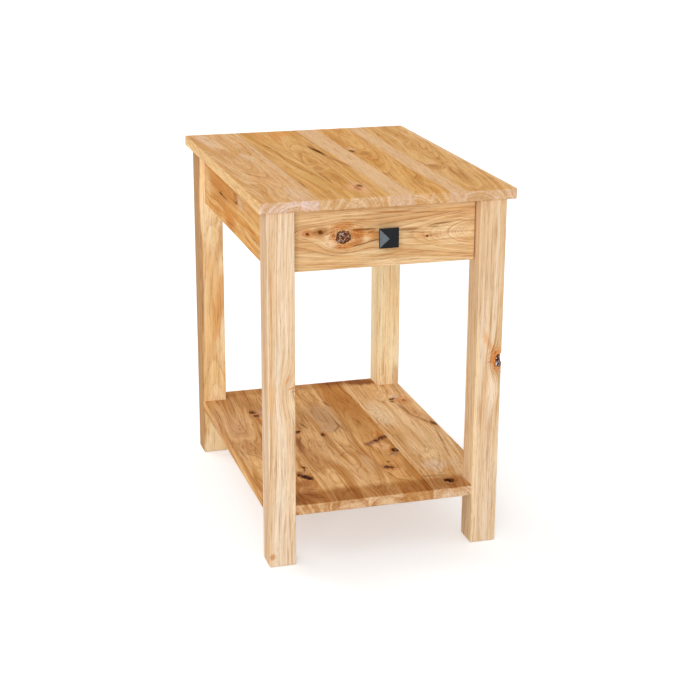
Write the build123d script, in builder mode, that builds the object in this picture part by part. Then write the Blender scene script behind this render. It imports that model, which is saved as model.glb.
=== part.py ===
"""Rustic hickory chairside table: four square legs, a board top, one inset drawer and a lower shelf.

Millimetres, +Z up. The origin is on the floor, under the centre of the table top.
The front of the table, where the drawer opens, looks along -Y.
"""

from build123d import *

import math
import os

# ---------------------------------------------------------------- driving dimensions

table_height = 609.6
top_width = 419.1
top_depth = 577.9
top_thick = 17.5
top_ease = 1.8                      # radius of the softened edges of the top
top_board_widths = (95.0, 50.0, 103.0, 87.0)    # the last board takes what is left

leg_side = 44.45
leg_ease = 1.6
leg_foot_chamfer = 1.2
side_overhang = 13.2                # top past the legs' outer faces
front_overhang = 7.9
rear_overhang = 2.0

apron_height = 101.6
apron_thick = 19.05
apron_inset = 12.5                  # apron face behind the legs' outer faces
apron_ease = 1.0
tenon_thick = 9.5
tenon_length = 15.9
tenon_low_shoulder = 9.5
tenon_haunch = 12.7
mortise_end_gap = 0.8

rail_thick = 19.05
rail_depth = 43.0                   # front rails, measured front to back
rail_front_gap = 1.0                # drawer front to rail, closed

shelf_top_height = 104.0
shelf_thick = 17.5
shelf_ease = 1.5
shelf_setback = 1.5                 # shelf's front edge behind the front legs' faces
shelf_board_widths = (105.0, 63.0, 60.0, 53.0)  # the last board takes what is left
dowel_diameter = 9.5
dowel_length = 32.0
dowel_end_gap = 0.8

drawer_front_thick = 19.05
drawer_front_recess = 19.05         # drawer front behind the legs' front faces
drawer_side_gap = 1.9
drawer_top_gap = 1.6
drawer_front_ease = 1.0

box_back_gap = 41.15                # behind the drawer box, to the back apron
box_side_thick = 12.7
box_end_thick = 12.7
box_rail_gap = 3.3                  # drawer box to the rail above and the rail below
bottom_thick = 6.35
bottom_height = 9.5                 # bottom panel above the box's lower edge
groove_depth = 6.35
panel_edge_gap = 0.4
tail_count = 2
tail_neck = 14.0                    # narrow end of a dovetail
tail_slope = 1 / 8

slide_back_gap = 40.35              # behind the slides, to the back apron
slide_overlap = 25.2                # how much of its length a slide keeps when fully out
slide_thick = 12.7                  # leg face to drawer box
slide_height = 45.7
slide_front_gap = 0.8               # fixed member behind the drawer front
sheet_thick = 1.2
ball_diameter = 3.0
ball_run_gap = 0.3                  # ball to the raceway each side
cage_thick = 0.6
cage_run_gap = 0.4                  # cage to the members beside it
outer_lip = 9.4                     # how far the fixed member's flanges reach
middle_lip = 10.6                   # the same for the middle member
drawer_member_depth = 7.5
ball_pitch = 26.0
ball_hole_gap = 0.1

knob_side = 32.0
knob_projection = 25.4
knob_rim = 3.2                      # straight edge of the square head
knob_peak = 4.6                     # height of the pyramid above the rim
knob_neck_diameter = 12.0
knob_back_taper = 5.5               # from the neck out to the square head
knob_foot_diameter = 17.0
knob_foot_thick = 2.4

knot_hole_depth = 266.0             # centre of the open knot, below the top's underside
knot_hole_radius = 8.6
knot_hole_offset = 1.2              # its centre, outside the leg's front right corner
knot_pocket_drop = 11.0             # a second, shallow pocket, below the open one
knot_pocket_inset = 8.0
knot_pocket_radius = 5.6
knot_pocket_depth = 2.6

fastener_radius = 8.0               # each lobe of a figure-of-eight top fastener
fastener_thick = 2.4
fastener_spacing = 13.5
fastener_neck = 9.0
fastener_shift = 1.6                # apron lobe, in from the middle of the apron
fastener_recess_gap = 0.3
side_fastener_offset = 150.0        # along the side aprons, each way from the middle
back_fastener_offset = 90.0

wood_screw_radius = 2.0
wood_screw_head_radius = 4.0
wood_screw_head_thick = 2.4
slide_screw_radius = 1.7
slide_screw_head_radius = 3.2
slide_screw_head_thick = 1.6
screw_hole_gap = 0.1
top_screw_bite = 12.0               # screw length inside the top
apron_screw_length = 20.0
cleat_screw_length = 27.0
cleat_screw_margin = 5.0            # screw axis inside the cleat's long edges
slide_screw_length = 11.0
front_screw_bite = 12.7             # screws from the box into the drawer front
front_screw_offset_x = 95.0
front_screw_low = 9.0               # lower screws above the bottom panel
front_screw_high = 12.0             # upper screws below the box's top edge
knob_screw_radius = 2.1
knob_screw_head_radius = 4.4
knob_screw_head_thick = 2.6
knob_screw_bite = 11.0
rail_top_screw_offset = 95.0
pocket_angle = 15.0
pocket_radius = 4.8
pocket_seat = 22.0                  # pocket floor, from the end of the rail
pocket_screw_length = 34.0
pocket_screw_offset = 9.0           # each way from the middle of the rail's end

# ---------------------------------------------------------------- derived places

top_underside = table_height - top_thick
top_left = -top_width / 2
top_front = -top_depth / 2
top_rear = top_depth / 2

frame_half = top_width / 2 - side_overhang          # legs' outer faces, left and right
frame_front = top_front + front_overhang            # legs' front faces
frame_rear = top_rear - rear_overhang
leg_inner = frame_half - leg_side                   # legs' faces towards the drawer
leg_back = frame_front + leg_side                   # front legs' rear faces
leg_fore = frame_rear - leg_side                    # rear legs' front faces
leg_centre_x = frame_half - leg_side / 2
front_leg_y = frame_front + leg_side / 2
rear_leg_y = frame_rear - leg_side / 2

apron_foot = top_underside - apron_height
side_apron_outer = frame_half - apron_inset
side_apron_inner = side_apron_outer - apron_thick
side_apron_mid = side_apron_outer - apron_thick / 2
back_apron_outer = frame_rear - apron_inset
back_apron_inner = back_apron_outer - apron_thick
back_apron_mid = back_apron_outer - apron_thick / 2
tenon_foot = apron_foot + tenon_low_shoulder
tenon_height = apron_height - tenon_low_shoulder - tenon_haunch

drawer_face = frame_front + drawer_front_recess
drawer_front_back = drawer_face + drawer_front_thick
rail_front = drawer_front_back + rail_front_gap
rail_rear = rail_front + rail_depth
rail_mid = (leg_back + rail_rear) / 2               # middle of the rail's ends, behind the legs
bay_foot = apron_foot + rail_thick                  # clear height between the two rails
bay_head = top_underside - rail_thick
bay_height = bay_head - bay_foot
slide_axis = (bay_foot + bay_head) / 2

box_front = drawer_front_back
box_rear = back_apron_inner - box_back_gap
box_foot = bay_foot + box_rail_gap
box_head = bay_head - box_rail_gap
box_height = box_head - box_foot
box_half = leg_inner - slide_thick
box_inner_half = box_half - box_side_thick
box_inner_front = box_front + box_end_thick
box_inner_rear = box_rear - box_end_thick
panel_foot = box_foot + bottom_height
panel_reach = groove_depth - panel_edge_gap

drawer_front_foot = apron_foot
drawer_front_height = apron_height - drawer_top_gap
drawer_front_half = leg_inner - drawer_side_gap
knob_height = drawer_front_foot + drawer_front_height / 2

slide_front = drawer_front_back + slide_front_gap
slide_rear = back_apron_inner - slide_back_gap
slide_length = slide_rear - slide_front
slide_travel = slide_length - slide_overlap
ball_gap = ball_diameter + 2 * ball_run_gap         # between two raceways
web_gap = cage_thick + 2 * cage_run_gap             # between two webs
middle_start = sheet_thick + web_gap                # in from the leg's inner face
middle_height = slide_height - 2 * sheet_thick - 2 * ball_gap
inner_height = middle_height - 2 * sheet_thick - 2 * ball_gap
outer_cage_start = sheet_thick + cage_run_gap
inner_cage_start = middle_start + sheet_thick + cage_run_gap
outer_cage_end = outer_lip - cage_run_gap
inner_cage_end = middle_lip - cage_run_gap
cage_length = slide_length - slide_travel / 2
cage_rear = slide_rear - slide_travel / 4
cage_front = cage_rear - cage_length

shelf_foot = shelf_top_height - shelf_thick
shelf_mid = shelf_top_height - shelf_thick / 2
shelf_front = frame_front + shelf_setback

LEFT, RIGHT = -1, 1
SIDES = (("left", LEFT), ("right", RIGHT))

os.makedirs("parts", exist_ok=True)


def save(part, name):
    """Label one finished piece and write its STEP file."""
    part.label = name
    export_step(part, f"parts/{name}.step")


def section_plane(y):
    """An upright plane across the table at y; what is extruded from it runs forwards."""
    return Plane.XZ.offset(-y)


def block(low, high):
    """A box between two corners, for cutting."""
    with BuildPart(mode=Mode.PRIVATE) as solid:
        with BuildSketch(Plane.XY.offset(low[2])):
            with Locations(((low[0] + high[0]) / 2, (low[1] + high[1]) / 2)):
                Rectangle(high[0] - low[0], high[1] - low[1])
        extrude(amount=high[2] - low[2])
    return solid.part


def board_edges(widths, start, end):
    """Left and right edge of each board of a glued panel."""
    edges = [start]
    for width in widths:
        edges.append(edges[-1] + width)
    return list(zip(edges, edges[1:] + [end]))


def screws(seats, length, radius, head_radius, head_thick, sunk=False, grow=0.0):
    """Screws on their seat planes: +Z of a seat runs down the screw's shank.

    A sunk head is a cone below the seat, a pan head is a disc above it. With grow, the
    shape is the hole for the screw.
    """
    with BuildPart(mode=Mode.PRIVATE) as group:
        with BuildSketch(*seats):
            Circle(radius + grow)
        extrude(amount=length + grow)
        if sunk:
            cone = math.degrees(math.atan((head_radius - radius) / head_thick))
            with BuildSketch(*seats):
                Circle(head_radius + grow)
            extrude(amount=head_thick, taper=cone)
        else:
            with BuildSketch(*seats):
                Circle(head_radius + grow)
            extrude(amount=-head_thick)
    return group.part


def seats_at(points, direction):
    """Seat planes at the points, all looking along one direction."""
    return [Plane(origin=point, z_dir=direction) for point in points]


# ---------------------------------------------------------------- where the fasteners go

UP, DOWN = (0, 0, 1), (0, 0, -1)

# Top fasteners: (centre of the lobe on the apron, direction towards the other lobe).
fastener_places = []
for _, side in SIDES:
    for y in (-side_fastener_offset, side_fastener_offset):
        fastener_places.append(((side * (side_apron_mid - fastener_shift), y), (-side, 0)))
for x in (-back_fastener_offset, back_fastener_offset):
    fastener_places.append(((x, back_apron_mid - fastener_shift), (0, -1)))

apron_screw_points = [(x, y, top_underside) for (x, y), _ in fastener_places]
top_screw_points = [
    (x + ux * fastener_spacing, y + uy * fastener_spacing, top_underside - fastener_thick)
    for (x, y), (ux, uy) in fastener_places
]
rail_top_points = [
    (x, rail_mid, top_underside - rail_thick) for x in (-rail_top_screw_offset, rail_top_screw_offset)
]


def apron_screws(grow=0.0):
    """Screws that hold the fasteners down to the aprons."""
    return screws(
        seats_at(apron_screw_points, DOWN), apron_screw_length, wood_screw_radius,
        wood_screw_head_radius, fastener_thick, sunk=True, grow=grow,
    )


def top_screws(grow=0.0):
    """Screws that pull the top down on its fasteners."""
    return screws(
        seats_at(top_screw_points, UP), fastener_thick + top_screw_bite, wood_screw_radius,
        wood_screw_head_radius, wood_screw_head_thick, grow=grow,
    )


def rail_top_screws(grow=0.0):
    """Screws up through the upper front rail into the top."""
    return screws(
        seats_at(rail_top_points, UP), rail_thick + top_screw_bite, wood_screw_radius,
        wood_screw_head_radius, wood_screw_head_thick, grow=grow,
    )


def pocket_seats():
    """Floors of the slanting pockets at both ends of both front rails."""
    slope = math.radians(pocket_angle)
    seats = []
    for end_height, lean in ((bay_head + rail_thick / 2, 1), (apron_foot + rail_thick / 2, 1)):
        for _, side in SIDES:
            for offset in (-pocket_screw_offset, pocket_screw_offset):
                origin = (
                    side * (side_apron_inner - pocket_seat),
                    rail_mid + offset,
                    end_height - lean * pocket_seat * math.tan(slope),
                )
                run = (side * math.cos(slope), 0, lean * math.sin(slope))
                seats.append(Plane(origin=origin, z_dir=run))
    return seats


def pocket_screws(grow=0.0):
    """Screws from the rails' pockets into the side aprons."""
    return screws(
        pocket_seats(), pocket_screw_length, wood_screw_radius,
        wood_screw_head_radius, wood_screw_head_thick, grow=grow,
    )


def pockets():
    """The bored pockets that the screw heads sit in."""
    with BuildPart(mode=Mode.PRIVATE) as bores:
        with BuildSketch(*pocket_seats()):
            Circle(pocket_radius)
        extrude(amount=-rail_depth)
    return bores.part


cleat_screw_rows = (bay_foot + cleat_screw_margin, bay_head - cleat_screw_margin)
cleat_screw_stations = [leg_back + (leg_fore - leg_back) * step / 5 for step in (1, 4)]
slide_screw_stations = [slide_front + slide_length * step / 8 for step in (1, 4, 7)]


def cleat_screws(side, grow=0.0):
    """Screws through a cleat into its side apron."""
    points = [(side * leg_inner, y, z) for y in cleat_screw_stations for z in cleat_screw_rows]
    return screws(
        seats_at(points, (side, 0, 0)), cleat_screw_length, wood_screw_radius,
        wood_screw_head_radius, wood_screw_head_thick, sunk=True, grow=grow,
    )


def cabinet_slide_screws(side, grow=0.0):
    """Screws through a fixed slide member into its cleat."""
    points = [(side * (leg_inner - sheet_thick), y, slide_axis) for y in slide_screw_stations]
    return screws(
        seats_at(points, (side, 0, 0)), slide_screw_length, slide_screw_radius,
        slide_screw_head_radius, slide_screw_head_thick, sunk=True, grow=grow,
    )


def drawer_slide_screws(side, grow=0.0):
    """Screws through a drawer slide member into the drawer's side."""
    points = [(side * (box_half + sheet_thick), y, slide_axis) for y in slide_screw_stations]
    return screws(
        seats_at(points, (-side, 0, 0)), slide_screw_length, slide_screw_radius,
        slide_screw_head_radius, slide_screw_head_thick, sunk=True, grow=grow,
    )


def drawer_front_screws(grow=0.0):
    """Screws from inside the drawer box into the drawer front."""
    rows = (panel_foot + bottom_thick + front_screw_low, box_head - front_screw_high)
    points = [
        (x, box_inner_front, z)
        for x in (-front_screw_offset_x, front_screw_offset_x) for z in rows
    ]
    return screws(
        seats_at(points, (0, -1, 0)), box_end_thick + front_screw_bite, wood_screw_radius,
        wood_screw_head_radius, wood_screw_head_thick, grow=grow,
    )


def knob_screw_shape(grow=0.0):
    """The machine screw that holds the knob from inside the drawer."""
    points = [(0, box_inner_front, knob_height)]
    length = box_end_thick + drawer_front_thick + knob_screw_bite
    return screws(
        seats_at(points, (0, -1, 0)), length, knob_screw_radius,
        knob_screw_head_radius, knob_screw_head_thick, grow=grow,
    )


def shelf_dowels(grow=0.0, end_gap=0.0):
    """Two dowels at each leg, one along each side of the shelf's notch."""
    reach = dowel_length / 2 + end_gap
    with BuildPart(mode=Mode.PRIVATE) as pins:
        along_y = [
            Plane(origin=(side * leg_centre_x, y - reach, shelf_mid), z_dir=(0, 1, 0))
            for _, side in SIDES for y in (leg_back, leg_fore)
        ]
        along_x = [
            Plane(origin=(side * leg_inner - reach, y, shelf_mid), z_dir=(1, 0, 0))
            for _, side in SIDES for y in (front_leg_y, rear_leg_y)
        ]
        with BuildSketch(*along_y, *along_x):
            Circle(dowel_diameter / 2 + grow)
        extrude(amount=2 * reach)
    return pins.part


# ---------------------------------------------------------------- the top

for number, (left, right) in enumerate(board_edges(top_board_widths, top_left, -top_left), 1):
    with BuildPart() as top_board:
        with BuildSketch(Plane.XY.offset(top_underside)):
            Rectangle(top_width, top_depth)
        extrude(amount=top_thick)
        fillet(top_board.edges(), top_ease)
        if left > top_left:
            split(bisect_by=Plane.YZ.offset(left), keep=Keep.TOP)
        if right < -top_left:
            split(bisect_by=Plane.YZ.offset(right), keep=Keep.BOTTOM)
        add(top_screws(screw_hole_gap), mode=Mode.SUBTRACT)
        add(rail_top_screws(screw_hole_gap), mode=Mode.SUBTRACT)
    save(top_board.part, f"top_board_{number}")

# ---------------------------------------------------------------- legs


def side_tenons(grow=0.0):
    """The four tenons of the two side aprons, or their mortises."""
    with BuildPart(mode=Mode.PRIVATE) as tenons:
        with BuildSketch(Plane.XY.offset(tenon_foot)):
            for _, side in SIDES:
                for shoulder, way in ((leg_back, -1), (leg_fore, 1)):
                    reach = tenon_length + grow
                    with Locations((side * side_apron_mid, shoulder + way * reach / 2)):
                        Rectangle(tenon_thick, reach)
        extrude(amount=tenon_height)
    return tenons.part


def back_tenons(grow=0.0):
    """The two tenons of the back apron, or their mortises."""
    with BuildPart(mode=Mode.PRIVATE) as tenons:
        with BuildSketch(Plane.XY.offset(tenon_foot)):
            for _, side in SIDES:
                reach = tenon_length + grow
                with Locations((side * (leg_inner + reach / 2), back_apron_mid)):
                    Rectangle(reach, tenon_thick)
        extrude(amount=tenon_height)
    return tenons.part


mortises = (side_tenons(mortise_end_gap), back_tenons(mortise_end_gap))
dowel_holes = shelf_dowels(screw_hole_gap, dowel_end_gap)

for name, side, leg_y in (
    ("leg_front_left", LEFT, front_leg_y),
    ("leg_front_right", RIGHT, front_leg_y),
    ("leg_rear_left", LEFT, rear_leg_y),
    ("leg_rear_right", RIGHT, rear_leg_y),
):
    with BuildPart() as leg:
        with BuildSketch():
            with Locations((side * leg_centre_x, leg_y)):
                Rectangle(leg_side, leg_side)
        extrude(amount=top_underside)
        fillet(leg.edges().filter_by(Axis.Z), leg_ease)
        chamfer(leg.faces().sort_by(Axis.Z)[0].edges(), leg_foot_chamfer)
        for mortise in mortises:
            add(mortise, mode=Mode.SUBTRACT)
        add(dowel_holes, mode=Mode.SUBTRACT)
        if name == "leg_front_right":
            # A knot has fallen out of the corner: an open bite and a shallow pocket under it.
            corner = (frame_half + knot_hole_offset, frame_front - knot_hole_offset)
            knot_height = top_underside - knot_hole_depth
            with Locations((corner[0], corner[1], knot_height)):
                Sphere(knot_hole_radius, mode=Mode.SUBTRACT)
            pocket_y = frame_front + knot_pocket_depth - knot_pocket_radius
            with Locations((frame_half - knot_pocket_inset, pocket_y, knot_height - knot_pocket_drop)):
                Sphere(knot_pocket_radius, mode=Mode.SUBTRACT)
    save(leg.part, name)

# ---------------------------------------------------------------- aprons

fastener_recesses = []
for (x, y), (ux, uy) in fastener_places:
    with BuildPart() as recess:
        with BuildSketch(Plane.XY.offset(top_underside - fastener_thick)):
            with Locations((x, y)):
                Circle(fastener_radius + fastener_recess_gap)
            with Locations((x + ux * fastener_spacing / 2, y + uy * fastener_spacing / 2)):
                Rectangle(
                    abs(ux) * fastener_spacing + abs(uy) * 2 * (fastener_radius + fastener_recess_gap),
                    abs(uy) * fastener_spacing + abs(ux) * 2 * (fastener_radius + fastener_recess_gap),
                )
        extrude(amount=fastener_thick)
    fastener_recesses.append(recess.part)

apron_screw_holes = apron_screws(screw_hole_gap)
pocket_screw_holes = pocket_screws(screw_hole_gap)

for side_name, side in SIDES:
    with BuildPart() as side_apron:
        with BuildSketch(Plane.XY.offset(apron_foot)):
            with Locations((side * side_apron_mid, (leg_back + leg_fore) / 2)):
                Rectangle(apron_thick, leg_fore - leg_back)
        extrude(amount=apron_height)
        fillet(side_apron.faces().sort_by(Axis.Z)[0].edges().filter_by(Axis.Y), apron_ease)
        own_half = block((min(0, side * frame_half), frame_front, 0),
                         (max(0, side * frame_half), frame_rear, top_underside))
        add(side_tenons() & own_half)
        for recess_part in fastener_recesses:
            add(recess_part, mode=Mode.SUBTRACT)
        add(apron_screw_holes, mode=Mode.SUBTRACT)
        add(pocket_screw_holes, mode=Mode.SUBTRACT)
        add(cleat_screws(side, screw_hole_gap), mode=Mode.SUBTRACT)
    save(side_apron.part, f"apron_{side_name}")

with BuildPart() as back_apron:
    with BuildSketch(Plane.XY.offset(apron_foot)):
        with Locations((0, back_apron_mid)):
            Rectangle(2 * leg_inner, apron_thick)
    extrude(amount=apron_height)
    fillet(back_apron.faces().sort_by(Axis.Z)[0].edges().filter_by(Axis.X), apron_ease)
    add(back_tenons())
    for recess_part in fastener_recesses:
        add(recess_part, mode=Mode.SUBTRACT)
    add(apron_screw_holes, mode=Mode.SUBTRACT)
save(back_apron.part, "apron_back")

# ---------------------------------------------------------------- front rails and cleats

for name, rail_foot in (("rail_front_upper", bay_head), ("rail_front_lower", apron_foot)):
    with BuildPart() as rail:
        with BuildSketch(Plane.XY.offset(rail_foot)):
            # Between the legs it comes forward; behind them it runs out to the side aprons.
            with Locations((0, (rail_front + rail_rear) / 2)):
                Rectangle(2 * leg_inner, rail_depth)
            with Locations((0, (leg_back + rail_rear) / 2)):
                Rectangle(2 * side_apron_inner, rail_rear - leg_back)
        extrude(amount=rail_thick)
        add(pockets(), mode=Mode.SUBTRACT)
        add(pocket_screw_holes, mode=Mode.SUBTRACT)
        add(rail_top_screws(screw_hole_gap), mode=Mode.SUBTRACT)
    save(rail.part, name)

for side_name, side in SIDES:
    with BuildPart() as cleat:
        with BuildSketch(Plane.XY.offset(bay_foot)):
            with Locations((side * (leg_inner + side_apron_inner) / 2, (leg_back + leg_fore) / 2)):
                Rectangle(side_apron_inner - leg_inner, leg_fore - leg_back)
        extrude(amount=bay_height)
        add(cleat_screws(side, screw_hole_gap), mode=Mode.SUBTRACT)
        add(cabinet_slide_screws(side, screw_hole_gap), mode=Mode.SUBTRACT)
    save(cleat.part, f"slide_cleat_{side_name}")

# ---------------------------------------------------------------- the shelf

for number, (left, right) in enumerate(board_edges(shelf_board_widths, -frame_half, frame_half), 1):
    with BuildPart() as shelf_board:
        with BuildSketch(Plane.XY.offset(shelf_foot)):
            with Locations((0, (shelf_front + frame_rear) / 2)):
                Rectangle(2 * frame_half, frame_rear - shelf_front)
        extrude(amount=shelf_thick)
        faces_up_and_down = shelf_board.faces().filter_by(Axis.Z)
        fillet(faces_up_and_down.edges(), shelf_ease)
        with BuildSketch(Plane.XY.offset(shelf_foot)):
            for _, side in SIDES:
                for leg_y in (front_leg_y, rear_leg_y):
                    with Locations((side * leg_centre_x, leg_y)):
                        Rectangle(leg_side, leg_side)
        extrude(amount=shelf_thick, mode=Mode.SUBTRACT)
        if left > -frame_half:
            split(bisect_by=Plane.YZ.offset(left), keep=Keep.TOP)
        if right < frame_half:
            split(bisect_by=Plane.YZ.offset(right), keep=Keep.BOTTOM)
        add(dowel_holes, mode=Mode.SUBTRACT)
    save(shelf_board.part, f"shelf_board_{number}")

# ---------------------------------------------------------------- drawer front and box

with BuildPart() as drawer_front:
    with BuildSketch(section_plane(drawer_front_back)):
        with Locations((0, drawer_front_foot + drawer_front_height / 2)):
            Rectangle(2 * drawer_front_half, drawer_front_height)
    extrude(amount=drawer_front_thick)
    fillet(drawer_front.faces().sort_by(Axis.Y)[0].edges(), drawer_front_ease)
    add(drawer_front_screws(screw_hole_gap), mode=Mode.SUBTRACT)
    add(knob_screw_shape(screw_hole_gap), mode=Mode.SUBTRACT)
save(drawer_front.part, "drawer_front")


def dovetails(side):
    """The tails at both ends of one drawer side, as they fill the box ends."""
    tail_pitch = box_height / tail_count
    with BuildPart(mode=Mode.PRIVATE) as tails:
        with BuildSketch(Plane.YZ.offset(side * box_half)):
            for shoulder, way in ((box_inner_front, -1), (box_inner_rear, 1)):
                for tail in range(tail_count):
                    middle = box_foot + tail_pitch * (tail + 0.5)
                    neck = tail_neck / 2
                    flare = neck + box_end_thick * tail_slope
                    with BuildLine():
                        Polyline(
                            (shoulder, middle - neck),
                            (shoulder + way * box_end_thick, middle - flare),
                            (shoulder + way * box_end_thick, middle + flare),
                            (shoulder, middle + neck),
                            close=True,
                        )
                    make_face()
        extrude(amount=-side * box_side_thick)
    return tails.part


panel_low = (-box_inner_half - panel_reach, box_inner_front - panel_reach, panel_foot)
panel_high = (box_inner_half + panel_reach, box_inner_rear + panel_reach, panel_foot + bottom_thick)
groove_low = (-box_inner_half - groove_depth, box_inner_front - groove_depth, panel_foot)
groove_high = (box_inner_half + groove_depth, box_inner_rear + groove_depth, panel_foot + bottom_thick)
panel_groove = block(groove_low, groove_high)

for side_name, side in SIDES:
    with BuildPart() as drawer_side:
        with BuildSketch(Plane.XY.offset(box_foot)):
            with Locations((side * (box_half - box_side_thick / 2), (box_inner_front + box_inner_rear) / 2)):
                Rectangle(box_side_thick, box_inner_rear - box_inner_front)
        extrude(amount=box_height)
        add(dovetails(side))
        add(panel_groove, mode=Mode.SUBTRACT)
        add(drawer_slide_screws(side, screw_hole_gap), mode=Mode.SUBTRACT)
    save(drawer_side.part, f"drawer_side_{side_name}")

for name, end_front in (("drawer_box_front", box_front), ("drawer_box_back", box_inner_rear)):
    with BuildPart() as box_end:
        with BuildSketch(Plane.XY.offset(box_foot)):
            with Locations((0, end_front + box_end_thick / 2)):
                Rectangle(2 * box_half, box_end_thick)
        extrude(amount=box_height)
        for _, side in SIDES:
            add(dovetails(side), mode=Mode.SUBTRACT)
        add(panel_groove, mode=Mode.SUBTRACT)
        add(drawer_front_screws(screw_hole_gap), mode=Mode.SUBTRACT)
        add(knob_screw_shape(screw_hole_gap), mode=Mode.SUBTRACT)
    save(box_end.part, name)

with BuildPart() as drawer_bottom:
    with BuildSketch(Plane.XY.offset(panel_foot)):
        with Locations(((panel_low[0] + panel_high[0]) / 2, (panel_low[1] + panel_high[1]) / 2)):
            Rectangle(panel_high[0] - panel_low[0], panel_high[1] - panel_low[1])
    extrude(amount=bottom_thick)
save(drawer_bottom.part, "drawer_bottom")

# ---------------------------------------------------------------- knob

knob_head_back = drawer_face - (knob_projection - knob_rim - knob_peak)
knob_taper_back = knob_head_back + knob_back_taper

with BuildPart() as knob:
    with BuildSketch(section_plane(drawer_face)):
        with Locations((0, knob_height)):
            Circle(knob_foot_diameter / 2)
    extrude(amount=knob_foot_thick)
    with BuildSketch(section_plane(drawer_face)):
        with Locations((0, knob_height)):
            Circle(knob_neck_diameter / 2)
    extrude(amount=drawer_face - knob_head_back)
    with BuildSketch(section_plane(knob_taper_back)):
        with Locations((0, knob_height)):
            Rectangle(knob_neck_diameter, knob_neck_diameter)
    with BuildSketch(section_plane(knob_head_back)):
        with Locations((0, knob_height)):
            Rectangle(knob_side, knob_side)
    loft()
    with BuildSketch(section_plane(knob_head_back)):
        with Locations((0, knob_height)):
            Rectangle(knob_side, knob_side)
    extrude(amount=knob_rim)
    with BuildSketch(section_plane(knob_head_back - knob_rim)):
        with Locations((0, knob_height)):
            Rectangle(knob_side, knob_side)
    extrude(amount=knob_peak, taper=math.degrees(math.atan((knob_side / 2 - 0.3) / knob_peak)))
    add(knob_screw_shape(screw_hole_gap), mode=Mode.SUBTRACT)
save(knob.part, "knob")

# ---------------------------------------------------------------- ball-bearing slides


def channel(side, start, end, height, web_at_end, thick, rear, length):
    """A C section standing beside the drawer; start and end count in from the leg's face."""
    low, high = sorted((side * (leg_inner - start), side * (leg_inner - end)))
    hollow_low, hollow_high = low, high
    if (side == RIGHT) == web_at_end:
        hollow_low = low + thick
    else:
        hollow_high = high - thick
    with BuildPart(mode=Mode.PRIVATE) as section:
        with BuildSketch(section_plane(rear)):
            with Locations(((low + high) / 2, slide_axis)):
                Rectangle(high - low, height)
            with Locations(((hollow_low + hollow_high) / 2, slide_axis)):
                Rectangle(hollow_high - hollow_low, height - 2 * thick, mode=Mode.SUBTRACT)
        extrude(amount=length)
    return section.part


def ball_places(side, start, end, pitch_height):
    """Ball centres of one cage: an upper and a lower row."""
    x = side * (leg_inner - (start + end) / 2)
    count = int(cage_length // ball_pitch)
    first = (cage_front + cage_rear) / 2 - (count - 1) * ball_pitch / 2
    return [
        (x, first + ball_pitch * step, slide_axis + row * pitch_height)
        for step in range(count) for row in (-1, 1)
    ]


for side_name, side in SIDES:
    with BuildPart() as cabinet_member:
        add(channel(side, 0, outer_lip, slide_height, False, sheet_thick, slide_rear, slide_length))
        add(cabinet_slide_screws(side, screw_hole_gap), mode=Mode.SUBTRACT)
    save(cabinet_member.part, f"slide_cabinet_member_{side_name}")

    with BuildPart() as middle_member:
        add(channel(side, middle_start, middle_lip, middle_height, False, sheet_thick,
                    slide_rear, slide_length))
    save(middle_member.part, f"slide_middle_member_{side_name}")

    with BuildPart() as drawer_member:
        add(channel(side, slide_thick - drawer_member_depth, slide_thick, inner_height, True,
                    sheet_thick, slide_rear, slide_length))
        add(drawer_slide_screws(side, screw_hole_gap), mode=Mode.SUBTRACT)
    save(drawer_member.part, f"slide_drawer_member_{side_name}")

    for level, start, end, outer_height in (
        ("outer", outer_cage_start, outer_cage_end, middle_height),
        ("inner", inner_cage_start, inner_cage_end, inner_height),
    ):
        row_height = outer_height / 2 + ball_gap / 2
        places = ball_places(side, start, end, row_height)
        with BuildPart() as cage:
            add(channel(side, start, end, 2 * row_height + cage_thick, False, cage_thick,
                        cage_rear, cage_length))
            with Locations(*places):
                Cylinder(ball_diameter / 2 + ball_hole_gap, ball_gap, mode=Mode.SUBTRACT)
        save(cage.part, f"{level}_ball_cage_{side_name}")

        with BuildPart() as balls:
            with Locations(*places):
                Sphere(ball_diameter / 2)
        save(balls.part, f"{level}_balls_{side_name}")

# ---------------------------------------------------------------- top fasteners and screws

with BuildPart() as top_fasteners:
    with BuildSketch(Plane.XY.offset(top_underside - fastener_thick)):
        for (x, y), (ux, uy) in fastener_places:
            other = (x + ux * fastener_spacing, y + uy * fastener_spacing)
            with Locations((x, y), other):
                Circle(fastener_radius)
            with Locations((x + ux * fastener_spacing / 2, y + uy * fastener_spacing / 2)):
                Rectangle(
                    abs(ux) * fastener_spacing + abs(uy) * fastener_neck,
                    abs(uy) * fastener_spacing + abs(ux) * fastener_neck,
                )
    extrude(amount=fastener_thick)
    add(apron_screws(screw_hole_gap), mode=Mode.SUBTRACT)
    add(top_screws(screw_hole_gap), mode=Mode.SUBTRACT)
save(top_fasteners.part, "top_fasteners")

for name, group in (
    ("fastener_apron_screws", apron_screws()),
    ("fastener_top_screws", top_screws()),
    ("rail_top_screws", rail_top_screws()),
    ("rail_pocket_screws", pocket_screws()),
    ("shelf_dowels", shelf_dowels()),
    ("drawer_front_screws", drawer_front_screws()),
    ("knob_screw", knob_screw_shape()),
):
    with BuildPart() as fasteners:
        add(group)
    save(fasteners.part, name)

for name, maker in (
    ("cleat_screws", cleat_screws),
    ("cabinet_slide_screws", cabinet_slide_screws),
    ("drawer_slide_screws", drawer_slide_screws),
):
    with BuildPart() as fasteners:
        for _, side in SIDES:
            add(maker(side))
    save(fasteners.part, name)
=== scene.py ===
# %% [markdown]
# # A rustic hickory chairside table
#
# This lesson dresses a small table: four square legs, a glued board top, one inset drawer on
# steel slides and a lower shelf. The frame holds every part at its real size already, so most of
# the work here is finish: varnished hickory, with pale sapwood, tan heartwood, knots and streaks.

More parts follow.
